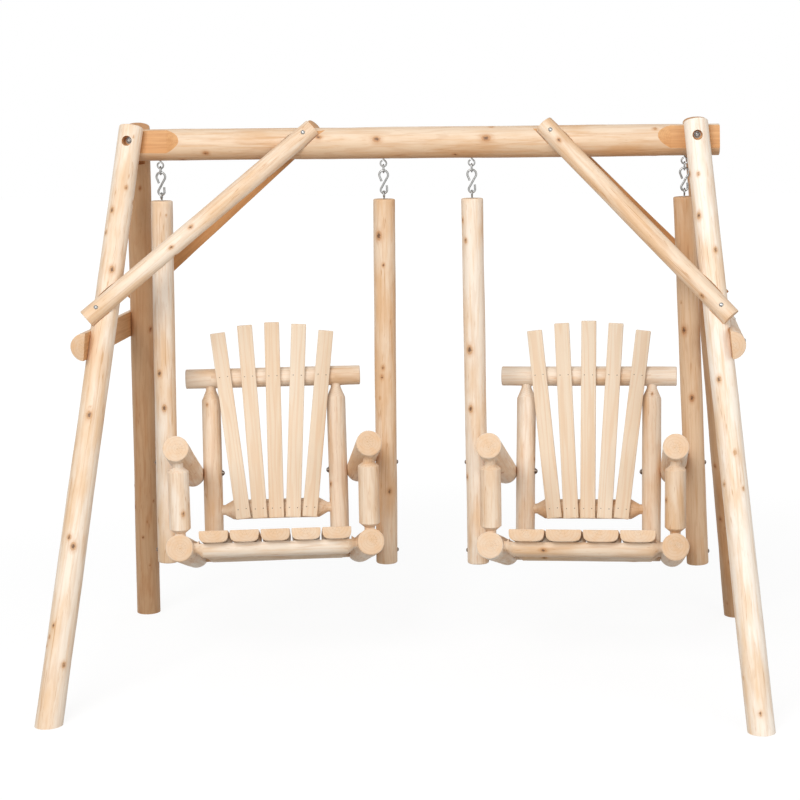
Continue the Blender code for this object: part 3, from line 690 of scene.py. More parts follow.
# %% [markdown]
# ## Swelling and knots
#
# No trunk is a true cylinder. Sculpting each one would be slow and couldn't be repeated, so the swelling
# is noise read on the round, which has no seam, and each knot lifts the surface by a millimetre. The
# larger knots that face the front are written down for each log, as a place along it, a share of its
# radius across and a size. The rest fall by chance, from a fixed seed.

# %% Swelling and knots
SWELL = 0.034
SWELL_ALONG = 3.5
RIPPLE = 0.010
RIPPLE_ROUND = 3
RIPPLE_ALONG = 14
KNOT_RISE = 0.0011
KNOT_SPREAD = 0.012
KNOT_STRETCH = 1.45
KNOTS_PER_METRE = 5.0
KNOT_SIZES = (0.4, 1.05)
KNOT_FROM_END = 0.03
FAR_FROM_KNOT = 0.06
NOISE_REACH = 50
FRONT_KNOTS = {
    "top_beam": ((-0.75, -0.5, 1.0), (-0.335, 0.4, 1.0), (-0.125, 0.25, 1.3), (0.157, -0.75, 0.7),
                 (0.271, 0.25, 1.5)),
    "front_left_leg": ((1.92, 0.5, 0.8), (1.75, -0.65, 0.8), (1.615, 0.3, 1.2), (1.085, 0.1, 1.3),
                       (0.62, 0.25, 1.3), (0.34, -0.4, 0.8), (0.27, -0.8, 0.7), (0.21, 0.7, 1.0)),
    "front_right_leg": ((1.80, -0.6, 1.1), (1.67, 0.4, 1.0), (1.21, -0.4, 1.1), (0.95, 0.2, 0.8)),
    "left_chair_left_hanger_post": ((1.125, -0.3, 1.2), (0.995, 0.1, 1.2)),
    "left_chair_right_hanger_post": ((1.63, -0.4, 1.5), (1.145, -0.1, 0.8), (0.68, 0.4, 1.0)),
    "right_chair_left_hanger_post": ((1.61, -0.6, 0.9), (1.21, -0.4, 1.5), (0.99, -0.4, 1.2)),
    "right_chair_right_hanger_post": ((1.28, -0.5, 1.3), (1.03, 0.0, 1.2)),
}
CHANCE_SEED = 20
rng = random.Random(CHANCE_SEED)


def front_knots(node, face_angle, origin=0.0, hand=1):
    """The written knots of a log as (angle, height, size), turned to the side that faces the front."""
    return [(face_angle + hand * math.asin(across), place - origin, size)
            for place, across, size in FRONT_KNOTS.get(node, ())]


def knots_for(length, placed=()):
    """Branch stubs as (angle, height, size): the written ones, then some by chance."""
    knots = list(placed)
    for _ in range(round(length * KNOTS_PER_METRE)):
        height = rng.uniform(KNOT_FROM_END, length - KNOT_FROM_END)
        knots.append((rng.uniform(-math.pi, math.pi), height, rng.uniform(*KNOT_SIZES)))
    return knots


def knot_distance(points, knots):
    """Distance from each local point, over the log's surface, to the nearest knot."""
    angles = np.arctan2(points[:, 1], points[:, 0])
    radii = np.hypot(points[:, 0], points[:, 1])
    nearest = np.full(len(points), FAR_FROM_KNOT)
    for angle, height, size in knots:
        turn = (angles - angle + np.pi) % (2 * np.pi) - np.pi
        away = np.hypot(turn * radii, (points[:, 2] - height) / KNOT_STRETCH)
        nearest = np.minimum(nearest, away / size)
    return nearest


def noise_place():
    return Vector([rng.uniform(-NOISE_REACH, NOISE_REACH) for _ in range(3)])


def weather(bm, knots):
    """Swell and dip the round side, and lift it at the knots."""
    seed = noise_place()
    points = np.array([vert.co for vert in bm.verts])
    lifts = KNOT_RISE * np.exp(-(knot_distance(points, knots) / KNOT_SPREAD) ** 2)
    for vert, lift in zip(bm.verts, lifts):
        radius = vert.co.xy.length
        if radius < TOUCHING:
            continue
        out = Vector((vert.co.x / radius, vert.co.y / radius, 0))
        slow = noise.noise(out + UP * (vert.co.z * SWELL_ALONG) + seed) * SWELL
        quick = noise.noise(out * RIPPLE_ROUND + UP * (vert.co.z * RIPPLE_ALONG) - seed) * RIPPLE
        vert.co += out * (radius * (slow + quick) + lift)


print("written knots:", sum(len(row) for row in FRONT_KNOTS.values()))

# %% [markdown]
# ## Carving and grain
#
# Flats, notches and bolt holes are cut after the swelling, with the exact Boolean, so that they stay
# true. A cut modelled by hand would have to be made again whenever a size changes. The grain is written
# last, because a cut adds new vertices.

# %% Carving and grain
PITH_OFF_CENTRE = 0.006
GRAIN_STARTS = (5, 900)
TONE_SPREAD = 0.045


def to_mesh(bm, name, place=Matrix()):
    """Turn a bmesh into a mesh whose vertices are already in place."""
    bmesh.ops.transform(bm, matrix=place, verts=bm.verts)
    data = bpy.data.meshes.new(name)
    bm.to_mesh(data)
    bm.free()
    return data


def carve(data, cutters, finishes):
    """Cut a mesh with other meshes; the cut faces take the cutters' own finish slots."""
    for finish in finishes:
        data.materials.append(finish)
    if not cutters:
        return data
    collection = bpy.context.scene.collection
    block = bpy.data.objects.new("carving", data)
    collection.objects.link(block)
    tools = []
    for cutter in cutters:
        for finish in finishes:
            cutter.materials.append(finish)
        tool = bpy.data.objects.new("chisel", cutter)
        collection.objects.link(tool)
        modifier = block.modifiers.new("cut", "BOOLEAN")
        modifier.solver = "EXACT"
        modifier.operation = "DIFFERENCE"
        modifier.object = tool
        tools.append(tool)
    graph = bpy.context.evaluated_depsgraph_get()
    carved = bpy.data.meshes.new_from_object(block.evaluated_get(graph))
    for used in [block, *tools]:
        bpy.data.objects.remove(used)
    return carved


def write_attribute(data, name, kind, field, values):
    layer = data.attributes.new(name, kind, "POINT")
    layer.data.foreach_set(field, values.astype(np.float32).ravel())


def write_grain(data, place, knots, tone, pith):
    """Store the grain coordinates, the distance to the nearest knot and the piece's tone."""
    count = len(data.vertices)
    flat = np.empty(count * 3, np.float32)
    data.vertices.foreach_get("co", flat)
    world = np.c_[flat.reshape(-1, 3), np.ones(count)]
    local = (world @ np.array(place.inverted()).T)[:, :3]
    write_attribute(data, "grain", "FLOAT_VECTOR", "vector", local + np.array(pith))
    write_attribute(data, "knot", "FLOAT", "value", knot_distance(local, knots))
    write_attribute(data, "tone", "FLOAT", "value", np.full(count, tone))


def pith_for(offset=PITH_OFF_CENTRE):
    """The pith is seldom in the middle, and no two logs share the same stretch of noise."""
    return (rng.uniform(-offset, offset), rng.uniform(-offset, offset), rng.uniform(*GRAIN_STARTS))


def tone_for(spread=TONE_SPREAD):
    return 1.0 + rng.uniform(-spread, spread)


print("each log's tone is within", TONE_SPREAD, "of its written tone")

# %% [markdown]
# ## A finished log
#
# A finished log rides on its moving body, takes the place of its solid, and has its box measured against
# that solid's box. Each log could have its own script, but the round ones differ only in their line,
# profile and cuts, so one function makes them all, from the beam to the arm posts.

# %% Log maker
SHARP_ANGLE = math.radians(38)


def show(name, data, body, node=None):
    """Put a finished mesh in the scene, riding on a body and standing for a solid if one is named."""
    data.name = name
    data.shade_smooth()
    data.set_sharp_from_angle(angle=SHARP_ANGLE)
    piece = bpy.data.objects.new(name, data)
    bpy.context.scene.collection.objects.link(piece)
    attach(piece, body)
    if node:
        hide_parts(node)
        low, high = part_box(node)
        corners = np.array([vert.co for vert in data.vertices])
        low_off = np.abs(corners.min(0) - np.array(low)).max()
        off = max(low_off, np.abs(corners.max(0) - np.array(high)).max())
        print(f"{name}: {len(data.polygons)} faces, box within {off * 1000:.1f} mm of its solid")
    return piece


def log(name, node, body, start, end, profile, cutters=(), outward=UP, placed=(), tone=1.0):
    """Make one round log on the line from start to end, cut it and show it."""
    place = along(start, end, outward)
    knots = knots_for((end - start).length, placed)
    bm = spun(profile)
    mark_ends(bm)
    weather(bm, knots)
    data = carve(to_mesh(bm, name, place), cutters, LOG_FINISHES)
    write_grain(data, place, knots, tone * tone_for(), pith_for())
    return show(name, data, body, node)


print("log maker ready; edges over", round(math.degrees(SHARP_ANGLE)), "degrees stay sharp")

# %% [markdown]
# ## Cutters
#
# A chisel, a saw or an auger takes a simple shape out of a log. Each cutter here is such a shape, already
# in place: a block for a notch, a wedge for a hewn flat and a cylinder for a bore. Building the cut into
# the log's own mesh would spoil its even rings. The cutter's faces carry the slot of the finish that the
# cut leaves.

# %% Cutter shapes
REACH = 0.10
BEAM_FLAT_RUN_OUT = 0.050
BEAM_FLAT_START = BEAM_RADIUS * 1.02
BORE_SIDES = 32
BORE_ROLL = Vector((0.3, 0.5, 0.8))


def cutter_mesh(bm, name, place, slot=FLAT_SLOT):
    for face in bm.faces:
        face.material_index = slot
    return to_mesh(bm, name, place)


def extruded(outline, push):
    """A solid from a flat outline of points, pushed along a vector."""
    bm = bmesh.new()
    face = bm.faces.new([bm.verts.new(point) for point in outline])
    grown = bmesh.ops.extrude_face_region(bm, geom=[face])
    far = [item for item in grown["geom"] if isinstance(item, bmesh.types.BMVert)]
    bmesh.ops.translate(bm, verts=far, vec=push)
    bmesh.ops.recalc_face_normals(bm, faces=bm.faces)
    return bm


def box_bmesh(low, high):
    bm = bmesh.new()
    bmesh.ops.create_cube(bm, size=1.0)
    bmesh.ops.scale(bm, verts=bm.verts, vec=Vector(high) - Vector(low))
    bmesh.ops.translate(bm, verts=bm.verts, vec=(Vector(high) + Vector(low)) / 2)
    return bm


def block_cutter(place, low, high, slot=FLAT_SLOT):
    return cutter_mesh(box_bmesh(low, high), "notch", place, slot)


def flat_cutter(place, length):
    """A wedge that runs out of the wood in a rounded tongue."""
    outline = [(BEAM_FLAT, length), (BEAM_FLAT, BEAM_FLAT_RUN_OUT), (BEAM_FLAT_START, 0), (REACH, 0),
               (REACH, length)]
    bm = extruded([(-REACH, out, run) for out, run in outline], (2 * REACH, 0, 0))
    return cutter_mesh(bm, "hewn_flat", place)


def bore_cutter(mouth, end, radius, sides=BORE_SIDES):
    start = mouth + (mouth - end).normalized() * REACH
    bm = bmesh.new()
    length = (end - start).length
    bmesh.ops.create_cone(bm, cap_ends=True, segments=sides, radius1=radius, radius2=radius, depth=length)
    bmesh.ops.translate(bm, verts=bm.verts, vec=(0, 0, length / 2))
    return cutter_mesh(bm, "bore", along(start, end, BORE_ROLL))


print("cutters ready: notch, hewn flat and bore")

# %% [markdown]
# ## Where the braces, crossbars and bolts meet the frame
#
# A brace or a crossbar lies in a shallow seat that is cut into the round log, so that the joint doesn't
# rock. The legs and the beam therefore need these lines before they are cut. Reading them off the
# finished braces would come too late, so each line is worked out here and used twice.

# %% Braces, crossbars and bolts: their lines
BRACE_TOP_X = {-1: -0.392, 1: 0.506}
BRACE_TOP_RISE = 0.014
BRACE_LOW_HEIGHT = 1.40
BRACE_TOP_OVERHANG = 0.044
BRACE_LOW_OVERHANG = 0.080
BRACE_WIDTH = 0.070
BRACE_SEAT = 0.008
CROSSBAR_HEIGHT = 1.268
CROSSBAR_LENGTH = 0.80
CROSSBAR_WIDTH = 0.100
CROSSBAR_SEAT = 0.008
SEAT_MARGIN = 0.002
BOLT_RISE = 0.020
BOLT_HEAD = 0.008
COUNTERBORE_WOOD = 0.036


def brace_line(side, front):
    """Start and end of a brace's flat side, from above the beam to past the leg."""
    outward = leg_normal(front)
    at_beam = Vector((BRACE_TOP_X[side], 0, BEAM_HEIGHT)) + outward * (BEAM_RADIUS - BRACE_SEAT)
    at_beam += outward.cross(Vector((-front, 0, 0))) * BRACE_TOP_RISE
    low_radius = leg_radius(BRACE_LOW_HEIGHT)
    at_leg = leg_at(side, front, BRACE_LOW_HEIGHT) + outward * (low_radius - BRACE_SEAT)
    run = (at_leg - at_beam).normalized()
    return at_beam - run * BRACE_TOP_OVERHANG, at_leg + run * BRACE_LOW_OVERHANG


def crossbar_line(side):
    foot, top = leg_ends(side, -1)
    splay = math.atan2(abs(foot.x) - abs(top.x), top.z - foot.z)
    outward = Vector((side * math.cos(splay), 0, math.sin(splay)))
    centre = Vector((leg_at(side, -1, CROSSBAR_HEIGHT).x, 0, CROSSBAR_HEIGHT))
    centre += outward * (leg_radius(CROSSBAR_HEIGHT) - CROSSBAR_SEAT)
    reach = Vector((0, CROSSBAR_LENGTH / 2, 0))
    return centre - reach, centre + reach, outward


def seat_cutter(start, end, outward, width):
    half = width / 2 + SEAT_MARGIN
    far = (end - start).length + REACH
    return block_cutter(along(start, end, outward), (-half, -CLEAR, -REACH), (half, REACH, far))


def brace_seat(side, front):
    return seat_cutter(*brace_line(side, front), leg_normal(front), BRACE_WIDTH)


def bolt_line(side):
    """The axis of a leg bolt's two shelves, front and rear, where its washers bear."""
    height = BEAM_HEIGHT + BOLT_RISE
    at_leg = leg_at(side, -1, height)
    seat = abs(at_leg.y) - LEG_FLAT + COUNTERBORE_WOOD - BOLT_HEAD / 2
    return Vector((at_leg.x, -seat, height)), Vector((at_leg.x, seat, height))


print("leg bolts are", round((bolt_line(1)[1] - bolt_line(1)[0]).length, 3), "m between washers")

# %% [markdown]
# ## The top beam
#
# The beam is the thickest log. At both ends it is hewn flat on the front and the back, leaning as the
# legs lean, and the flats run out in a rounded tongue. A slanting wedge makes that tongue by itself,
# where it leaves the round. The tone attribute goes down towards the underside, which paints shade
# there; that is simpler than a second material.

# %% Beam
BEAM_FLAT_LENGTH = 0.225
BEAM_TONE = 0.91
# How far the tone drops at the beam's underside: painted shade.
BEAM_UNDERSIDE_SHADE = 0.20
UNDERSIDE_SHADE_FROM = BEAM_HEIGHT + BEAM_RADIUS / 2
UNDERSIDE_SHADE_FULL = BEAM_HEIGHT - BEAM_RADIUS
BOLT_RADIUS = 0.006
BEAM_ENDS = {-1: Vector((-BEAM_LEFT_REACH, 0, BEAM_HEIGHT)), 1: Vector((BEAM_RIGHT_REACH, 0, BEAM_HEIGHT))}


def beam_cutters():
    cutters = [bore_cutter(*bolt_line(side), BOLT_RADIUS + CLEAR) for side in SIDES]
    for side in SIDES:
        for front in FACES:
            inner = BEAM_ENDS[side] - Vector((side * BEAM_FLAT_LENGTH, 0, 0))
            outer = BEAM_ENDS[side] + Vector((side * REACH, 0, 0))
            cutters.append(flat_cutter(along(inner, outer, leg_normal(front)), (outer - inner).length))
            cutters.append(brace_seat(side, front))
    return cutters


def shade_beam_underside(beam):
    """Paint shade under the beam: lower the tone from a little above its middle to its underside."""
    heights = np.array([vert.co.z for vert in beam.data.vertices])
    below = np.clip((UNDERSIDE_SHADE_FROM - heights) / (UNDERSIDE_SHADE_FROM - UNDERSIDE_SHADE_FULL), 0, 1)
    tones = np.empty(len(heights), np.float32)
    layer = beam.data.attributes["tone"].data
    layer.foreach_get("value", tones)
    layer.foreach_set("value", (tones * (1 - BEAM_UNDERSIDE_SHADE * below)).astype(np.float32))


def build_beam():
    profile = plain_profile(BEAM_LEFT_REACH + BEAM_RIGHT_REACH, BEAM_RADIUS, BEAM_RADIUS)
    knots = front_knots("top_beam", math.pi, -BEAM_LEFT_REACH, -1)
    return log("beam_log", "top_beam", "frame", BEAM_ENDS[-1], BEAM_ENDS[1], profile, beam_cutters(),
               placed=knots, tone=BEAM_TONE)


shade_beam_underside(build_beam())

# %% [markdown]
# ## The legs
#
# Each leg is notched to match the beam's flat, cut level at the foot, seated for its brace and crossbar,
# and bored for the long bolt that clamps two legs and the beam together. A wide counterbore sinks the
# bolt's nut and washer below the round. A mirror modifier would repeat one leg's grain four times, so a
# loop over two signs makes each leg anew.

# %% Legs
LEG_NOTCH_BELOW = 0.085
COUNTERBORE_RADIUS = 0.018
# The rear legs' low tone is painted shade, and the front legs' raised tone is painted light.
LEG_LIGHT_AND_SHADE_TONES = {-1: 1.05, 1: 0.72}


def leg_cutters(side, front, place, length):
    flat_end = length - LEG_RISE - LEG_NOTCH_BELOW
    near, far = bolt_line(side)
    shelf = near if front < 0 else far
    middle = (near + far) / 2
    outside = shelf + (shelf - middle).normalized() * REACH
    ground = LEG_FOOT_X + LEG_FOOT_Y
    return [
        block_cutter(Matrix(), (-ground, -ground, -ground), (ground, ground, 0), END_SLOT),
        block_cutter(place, (-REACH, -REACH, flat_end), (REACH, -LEG_FLAT, length + REACH)),
        brace_seat(side, front),
        seat_cutter(*crossbar_line(side), CROSSBAR_WIDTH),
        bore_cutter(outside, shelf, COUNTERBORE_RADIUS),
        bore_cutter(outside, middle, BOLT_RADIUS + CLEAR),
    ]


def build_legs():
    for side, side_name in SIDES.items():
        for front, face_name in FACES.items():
            foot, top = leg_ends(side, front)
            outward = leg_normal(front)
            length = (top - foot).length
            profile = plain_profile(length, LEG_FOOT_RADIUS, LEG_TOP_RADIUS)
            cutters = leg_cutters(side, front, along(foot, top, outward), length)
            node = f"{face_name}_{side_name}_leg"
            knots = front_knots(node, math.pi / 2, -LEG_OVERCUT)
            log(f"{node}_log", node, "frame", foot, top, profile, cutters, outward, knots, LEG_LIGHT_AND_SHADE_TONES[front])


build_legs()

# %% [markdown]
# ## Half-round logs
#
# The braces and the side crossbars are logs sawn in half along the pith: round outside, flat inside, with
# the flat browner because the saw leaves the heartwood bare. A round log could be cut in two, but an arc
# that is extruded along the log can also be made fuller, which gives the seat slats. It is sliced into
# short lengths, so that it can swell like the round ones.

# %% Half-round maker
HALF_STEPS = 22
HALF_ROUND = 2.0
HALF_EDGE = 0.003
EASED_STEPS = 2
HALF_CORNER = math.radians(50)
HALF_SWELL = 0.03
HALF_SWELL_SCALE = Vector((20, 20, 4))
HALF_RIPPLE = 0.3
HALF_RIPPLE_SCALE = Vector((60, 60, 15))
HALF_PITH_OFF_CENTRE = 0.004
FLAT_MARGIN = 0.0015


def ease_edges(bm, edges, offset, segments):
    bmesh.ops.bevel(bm, geom=edges, offset=offset, offset_type="OFFSET", segments=segments, profile=0.5,
                    affect="EDGES", material=-1)


def slice_along(bm, length):
    """Cut the long edges into short lengths."""
    runs = [edge for edge in bm.edges if abs(edge.verts[0].co.z - edge.verts[1].co.z) > length / 2]
    bmesh.ops.subdivide_edges(bm, edges=runs, cuts=round(length / RING_STEP), use_grid_fill=True)
    bm.normal_update()


def half_log_bmesh(width, thickness, length, fullness):
    """Flat side on local Y = 0, round side towards +Y, running along local Z from 0."""
    power = HALF_ROUND / fullness
    outline = []
    for step in range(HALF_STEPS + 1):
        angle = math.pi * step / HALF_STEPS
        across = math.copysign(abs(math.cos(angle)) ** power, math.cos(angle))
        out = math.sin(angle) ** power if 0 < step < HALF_STEPS else 0.0
        outline.append((across * width / 2, out * thickness, 0))
    bm = extruded(outline, (0, 0, length))
    corners = [edge for edge in bm.edges if edge.calc_face_angle(0) > HALF_CORNER]
    ease_edges(bm, corners, HALF_EDGE, EASED_STEPS)
    slice_along(bm, length)
    mark_ends(bm)
    for face in bm.faces:
        if face.material_index == ROUND_SLOT and face.normal.y < -END_FACING:
            face.material_index = FLAT_SLOT
    return bm


def scaled_by(point, scale):
    return Vector([value * factor for value, factor in zip(point, scale)])


def swell_half(bm, strength):
    """Swell the round side only, and leave the sawn flat true."""
    seed = noise_place()
    for vert in bm.verts:
        if vert.co.y < FLAT_MARGIN:
            continue
        slow = noise.noise(scaled_by(vert.co, HALF_SWELL_SCALE) + seed)
        quick = noise.noise(scaled_by(vert.co, HALF_RIPPLE_SCALE) - seed)
        grown = 1 + strength * (slow + HALF_RIPPLE * quick)
        vert.co = scaled_by(vert.co, (grown, grown, 1))


def half_log(name, node, body, place, size, tone, finishes=LOG_FINISHES, fullness=HALF_ROUND,
             swell=HALF_SWELL, knot_share=1.0):
    """Make one half-round log; its size is its width, thickness and length."""
    width, thickness, length = size
    knots = knots_for(length * knot_share)
    bm = half_log_bmesh(width, thickness, length, fullness)
    swell_half(bm, swell)
    data = carve(to_mesh(bm, name, place), (), finishes)
    write_grain(data, place, knots, tone * tone_for(), pith_for(HALF_PITH_OFF_CENTRE))
    return show(name, data, body, node)


print("half-round maker ready, arcs of", HALF_STEPS, "steps")

# %% [markdown]
# ## Braces and crossbars
#
# Four braces run from the beam down to the legs and keep the frame from racking sideways. A crossbar on
# the outside ties each front leg to the rear one. Copies of one brace would show the same knots four
# times, so each is made on its own line. The rear braces stand in the shade, and their lower tone is painted
# shade.

# %% Braces and crossbars
BRACE_THICKNESS = 0.035
# The rear braces' lower tone is painted shade.
BRACE_SHADE_TONES = {-1: 0.97, 1: 0.78}
CROSSBAR_THICKNESS = 0.050
CROSSBAR_TONES = {-1: 0.94, 1: 1.04}


def build_braces():
    for side, side_name in SIDES.items():
        for front, face_name in FACES.items():
            start, end = brace_line(side, front)
            node = f"{face_name}_{side_name}_brace"
            size = (BRACE_WIDTH, BRACE_THICKNESS, (end - start).length)
            place = along(start, end, leg_normal(front))
            half_log(f"{node}_log", node, "frame", place, size, BRACE_SHADE_TONES[front])


def build_crossbars():
    size = (CROSSBAR_WIDTH, CROSSBAR_THICKNESS, CROSSBAR_LENGTH)
    for side, side_name in SIDES.items():
        node = f"{side_name}_crossbar"
        half_log(f"{node}_log", node, "frame", along(*crossbar_line(side)), size, CROSSBAR_TONES[side])


build_braces()
build_crossbars()

# %% [markdown]
# ## Eyes, links and S hooks
#
# Each chair hangs by four pieces of bent wire on each side: an eye in the beam, a link, an S hook and an
# eye in the post. Rings could be joined from torus pieces, but a wire is a path with a round section,
# which is just what a curve with a bevel is. The path comes from arcs and straight stretches. The heights
# follow from one another, because each piece bears on the wire of the one above.

# %% Wire paths
EYE_WIRE = 0.003
EYE_RADIUS = 0.011
EYE_NECK = 0.005
EYE_STAND_OFF = 0.0015
EYE_SHANK = 0.030
EYE_BEND = math.radians(58)
EYE_TURN = math.radians(312)
LINK_WIRE = 0.003
LINK_HALF_WIDTH = 0.0075
LINK_PITCH = 0.028
HOOK_WIRE = 0.004
HOOK_PITCH = 0.082
HOOK_TOP_RADIUS = 0.016
HOOK_LOW_RADIUS = 0.0115
HOOK_TOP_MOUTH = math.radians(205)
HOOK_LOW_MOUTH = math.radians(5)
HOOK_TOP_LIP = 0.018
HOOK_LOW_LIP = 0.016
RING_POINTS = 40
EYE_TO_WOOD = EYE_RADIUS + EYE_NECK + EYE_STAND_OFF
BEAM_EYE_CENTRE = BEAM_HEIGHT - BEAM_RADIUS - EYE_TO_WOOD
SWING_AXIS = BEAM_EYE_CENTRE - EYE_RADIUS
LINK_TOP = SWING_AXIS + EYE_WIRE + LINK_WIRE + CLEAR
LINK_LOW = LINK_TOP - LINK_PITCH
HOOK_TOP = LINK_LOW + LINK_WIRE + HOOK_WIRE + CLEAR
TILT_AXIS = HOOK_TOP - HOOK_PITCH
POST_EYE_TOP = TILT_AXIS + HOOK_WIRE + EYE_WIRE + CLEAR
POST_EYE_CENTRE = POST_EYE_TOP - EYE_RADIUS
HANGER_TOP = POST_EYE_CENTRE - EYE_TO_WOOD


def arc(height, radius, first, last):
    """Points on an arc in the XZ plane, about a centre on the Z axis."""
    steps = [first + (last - first) * step / (RING_POINTS - 1) for step in range(RING_POINTS)]
    return [Vector((radius * math.cos(angle), 0, height + radius * math.sin(angle))) for angle in steps]


def eye_path():
    neck = EYE_RADIUS + EYE_NECK
    ring = arc(0, EYE_RADIUS, EYE_BEND, EYE_BEND - EYE_TURN)
    return [Vector((0, 0, neck + EYE_SHANK)), Vector((0, 0, neck)), *ring]


def link_path():
    straight = LINK_PITCH / 2 - LINK_HALF_WIDTH
    upper = arc(straight, LINK_HALF_WIDTH, 0, math.pi)
    return upper + arc(-straight, LINK_HALF_WIDTH, math.pi, math.tau)


def hook_path():
    """Two bends on a leaning shank, each with a straight lip that nearly closes it."""
    upper = -HOOK_TOP_RADIUS
    lower = HOOK_LOW_RADIUS - HOOK_PITCH
    lean = math.asin((HOOK_TOP_RADIUS + HOOK_LOW_RADIUS) / (upper - lower))
    bends = arc(upper, HOOK_TOP_RADIUS, HOOK_TOP_MOUTH, -lean)
    bends += arc(lower, HOOK_LOW_RADIUS, math.pi - lean, math.tau + HOOK_LOW_MOUTH)
    top_tip = bends[0] + (bends[0] - bends[1]).normalized() * HOOK_TOP_LIP
    low_tip = bends[-1] + (bends[-1] - bends[-2]).normalized() * HOOK_LOW_LIP
    return [top_tip, *bends, low_tip]


print("chairs swing at", round(SWING_AXIS, 4), "m and tilt at", round(TILT_AXIS, 4), "m")

# %% [markdown]
# ## Hanging the wires
#
# Each piece of the chain is turned a quarter against its neighbours, so that it can swing on them. The
# beam's eye stays with the frame, the link and the hook swing together, and the post's eye goes with the
# chair. A curve could stay a curve, but it is made a mesh before it is put in place, so that the finished
# piece sits at the origin like all the others.

# %% Suspension
WIRE_ROUNDNESS = 5


def wire(node, body, points, radius, place, closed=False):
    data = bpy.data.curves.new(node, "CURVE")
    data.dimensions = "3D"
    data.bevel_depth = radius
    data.bevel_resolution = WIRE_ROUNDNESS
    data.use_fill_caps = not closed
    spline = data.splines.new("POLY")
    spline.points.add(len(points) - 1)
    for target, point in zip(spline.points, points):
        target.co = (*point, 1.0)
    spline.use_cyclic_u = closed
    bent = bpy.data.objects.new("bent_wire", data)
    bpy.context.scene.collection.objects.link(bent)
    graph = bpy.context.evaluated_depsgraph_get()
    mesh = bpy.data.meshes.new_from_object(bent.evaluated_get(graph))
    bpy.data.objects.remove(bent)
    mesh.transform(place)
    mesh.materials.clear()
    mesh.materials.append(GALVANISED)
    show(f"{node}_wire", mesh, body, node)


def build_suspension(chair, side, x):
    name = f"{chair}_chair_{SIDES[side]}"
    hangers = f"{chair}_hangers"
    quarter = Matrix.Rotation(math.pi / 2, 4, "Z")
    upside_down = quarter @ Matrix.Rotation(math.pi, 4, "X")
    wire(f"{name}_beam_eye", "frame", eye_path(), EYE_WIRE, Matrix.Translation((x, 0, BEAM_EYE_CENTRE)))
    middle = Matrix.Translation((x, 0, (LINK_TOP + LINK_LOW) / 2))
    wire(f"{name}_link", hangers, link_path(), LINK_WIRE, middle @ quarter, closed=True)
    wire(f"{name}_s_hook", hangers, hook_path(), HOOK_WIRE, Matrix.Translation((x, 0, HOOK_TOP)))
    post_eye = Matrix.Translation((x, 0, POST_EYE_CENTRE)) @ upside_down
    wire(f"{name}_post_eye", f"{chair}_chair", eye_path(), EYE_WIRE, post_eye)


print("wire has", 2 * WIRE_ROUNDNESS + 2, "sides")

# %% [markdown]
# ## Where the chairs' pieces lie
#
# Both chairs are built alike: two sloping side rails, two arms above them on short posts, a long hanger
# post outside each, a front and a rear seat rail, and a reclining back. The left chair is wider in front,
# has five seat slats and hangs turned a little; the right one has four wider slats. Two full lists of
# sizes would drift apart, so one list serves both, and the few sizes that differ stand in a small table.

# %% Driving sizes of the chairs
HANGER_RADIUS = 0.0400
HANGER_FOOT = 0.400
ARM_RADIUS = 0.0465
ARM_HEIGHT = 0.908
ARM_SLOPE = math.radians(20)
RAIL_RADIUS = 0.049
RAIL_HEIGHT = 0.546
RAIL_SLOPE = math.radians(16)
CHAIR_FRONT = -0.3425
REAR_HALF = 0.320
REAR_SIZED_AT = 0.210
ARM_POST_SET_BACK = 0.055
FRONT_RAIL_SET_BACK = 0.045
REAR_RAIL_SET_BACK = 0.405
CROSS_RAIL_RADIUS = 0.038
SEAT_SLAT_LENGTH = 0.465
SEAT_SLAT_THICKNESS = 0.043
SEAT_SLAT_SINK = 0.024
SEAT_SLAT_FRONT = -0.012
SEAT_SLAT_GAP = 0.006
SEAT_SLAT_LIFT = CROSS_RAIL_RADIUS - SEAT_SLAT_SINK + SEAT_SLAT_THICKNESS
BACK_RECLINE = math.radians(13.6)
BACK_POST_RADIUS = 0.036
BACK_POST_HALF = 0.240
BACK_POST_SET_BACK = 0.520
BACK_POST_FOOT = 0.375
TOP_RAIL_HEIGHT = 1.060
TOP_RAIL_RADIUS = 0.0375
LOWER_RAIL_HEIGHT = 0.566
BACK_SLATS = 5
BACK_SLAT_LOW = 0.530
BACK_SLAT_TOP = 1.262
BACK_SLAT_TOP_DROP = 0.009
BACK_SLAT_LOW_STEP = 0.063
BACK_SLAT_TOP_STEP = 0.104
BACK_SLAT_SINK = 0.002
POST_SEAT = 0.008
CHAIRS = {
    "left": {"centre": -0.541, "turn": math.radians(9.3), "front_half": 0.343, "seat_slats": 5,
             "slat_width": 0.104, "left_lean": 0.020, "right_lean": -0.013},
    "right": {"centre": 0.624, "turn": math.radians(-1.5), "front_half": 0.331, "seat_slats": 4,
              "slat_width": 0.126, "left_lean": -0.004, "right_lean": 0.040},
}
print("chairs:", {name: f"{spec['seat_slats']} seat slats" for name, spec in CHAIRS.items()})

# %% [markdown]
# ## The plan of one chair
#
# Each piece of a chair meets several others, so its line is worked out once and used for the piece, its
# mortises and its bolts. Loose functions would need the chair's sizes handed to every one of them. A
# small class keeps them together, and turns places on the chair's own axes into places on the frame's.

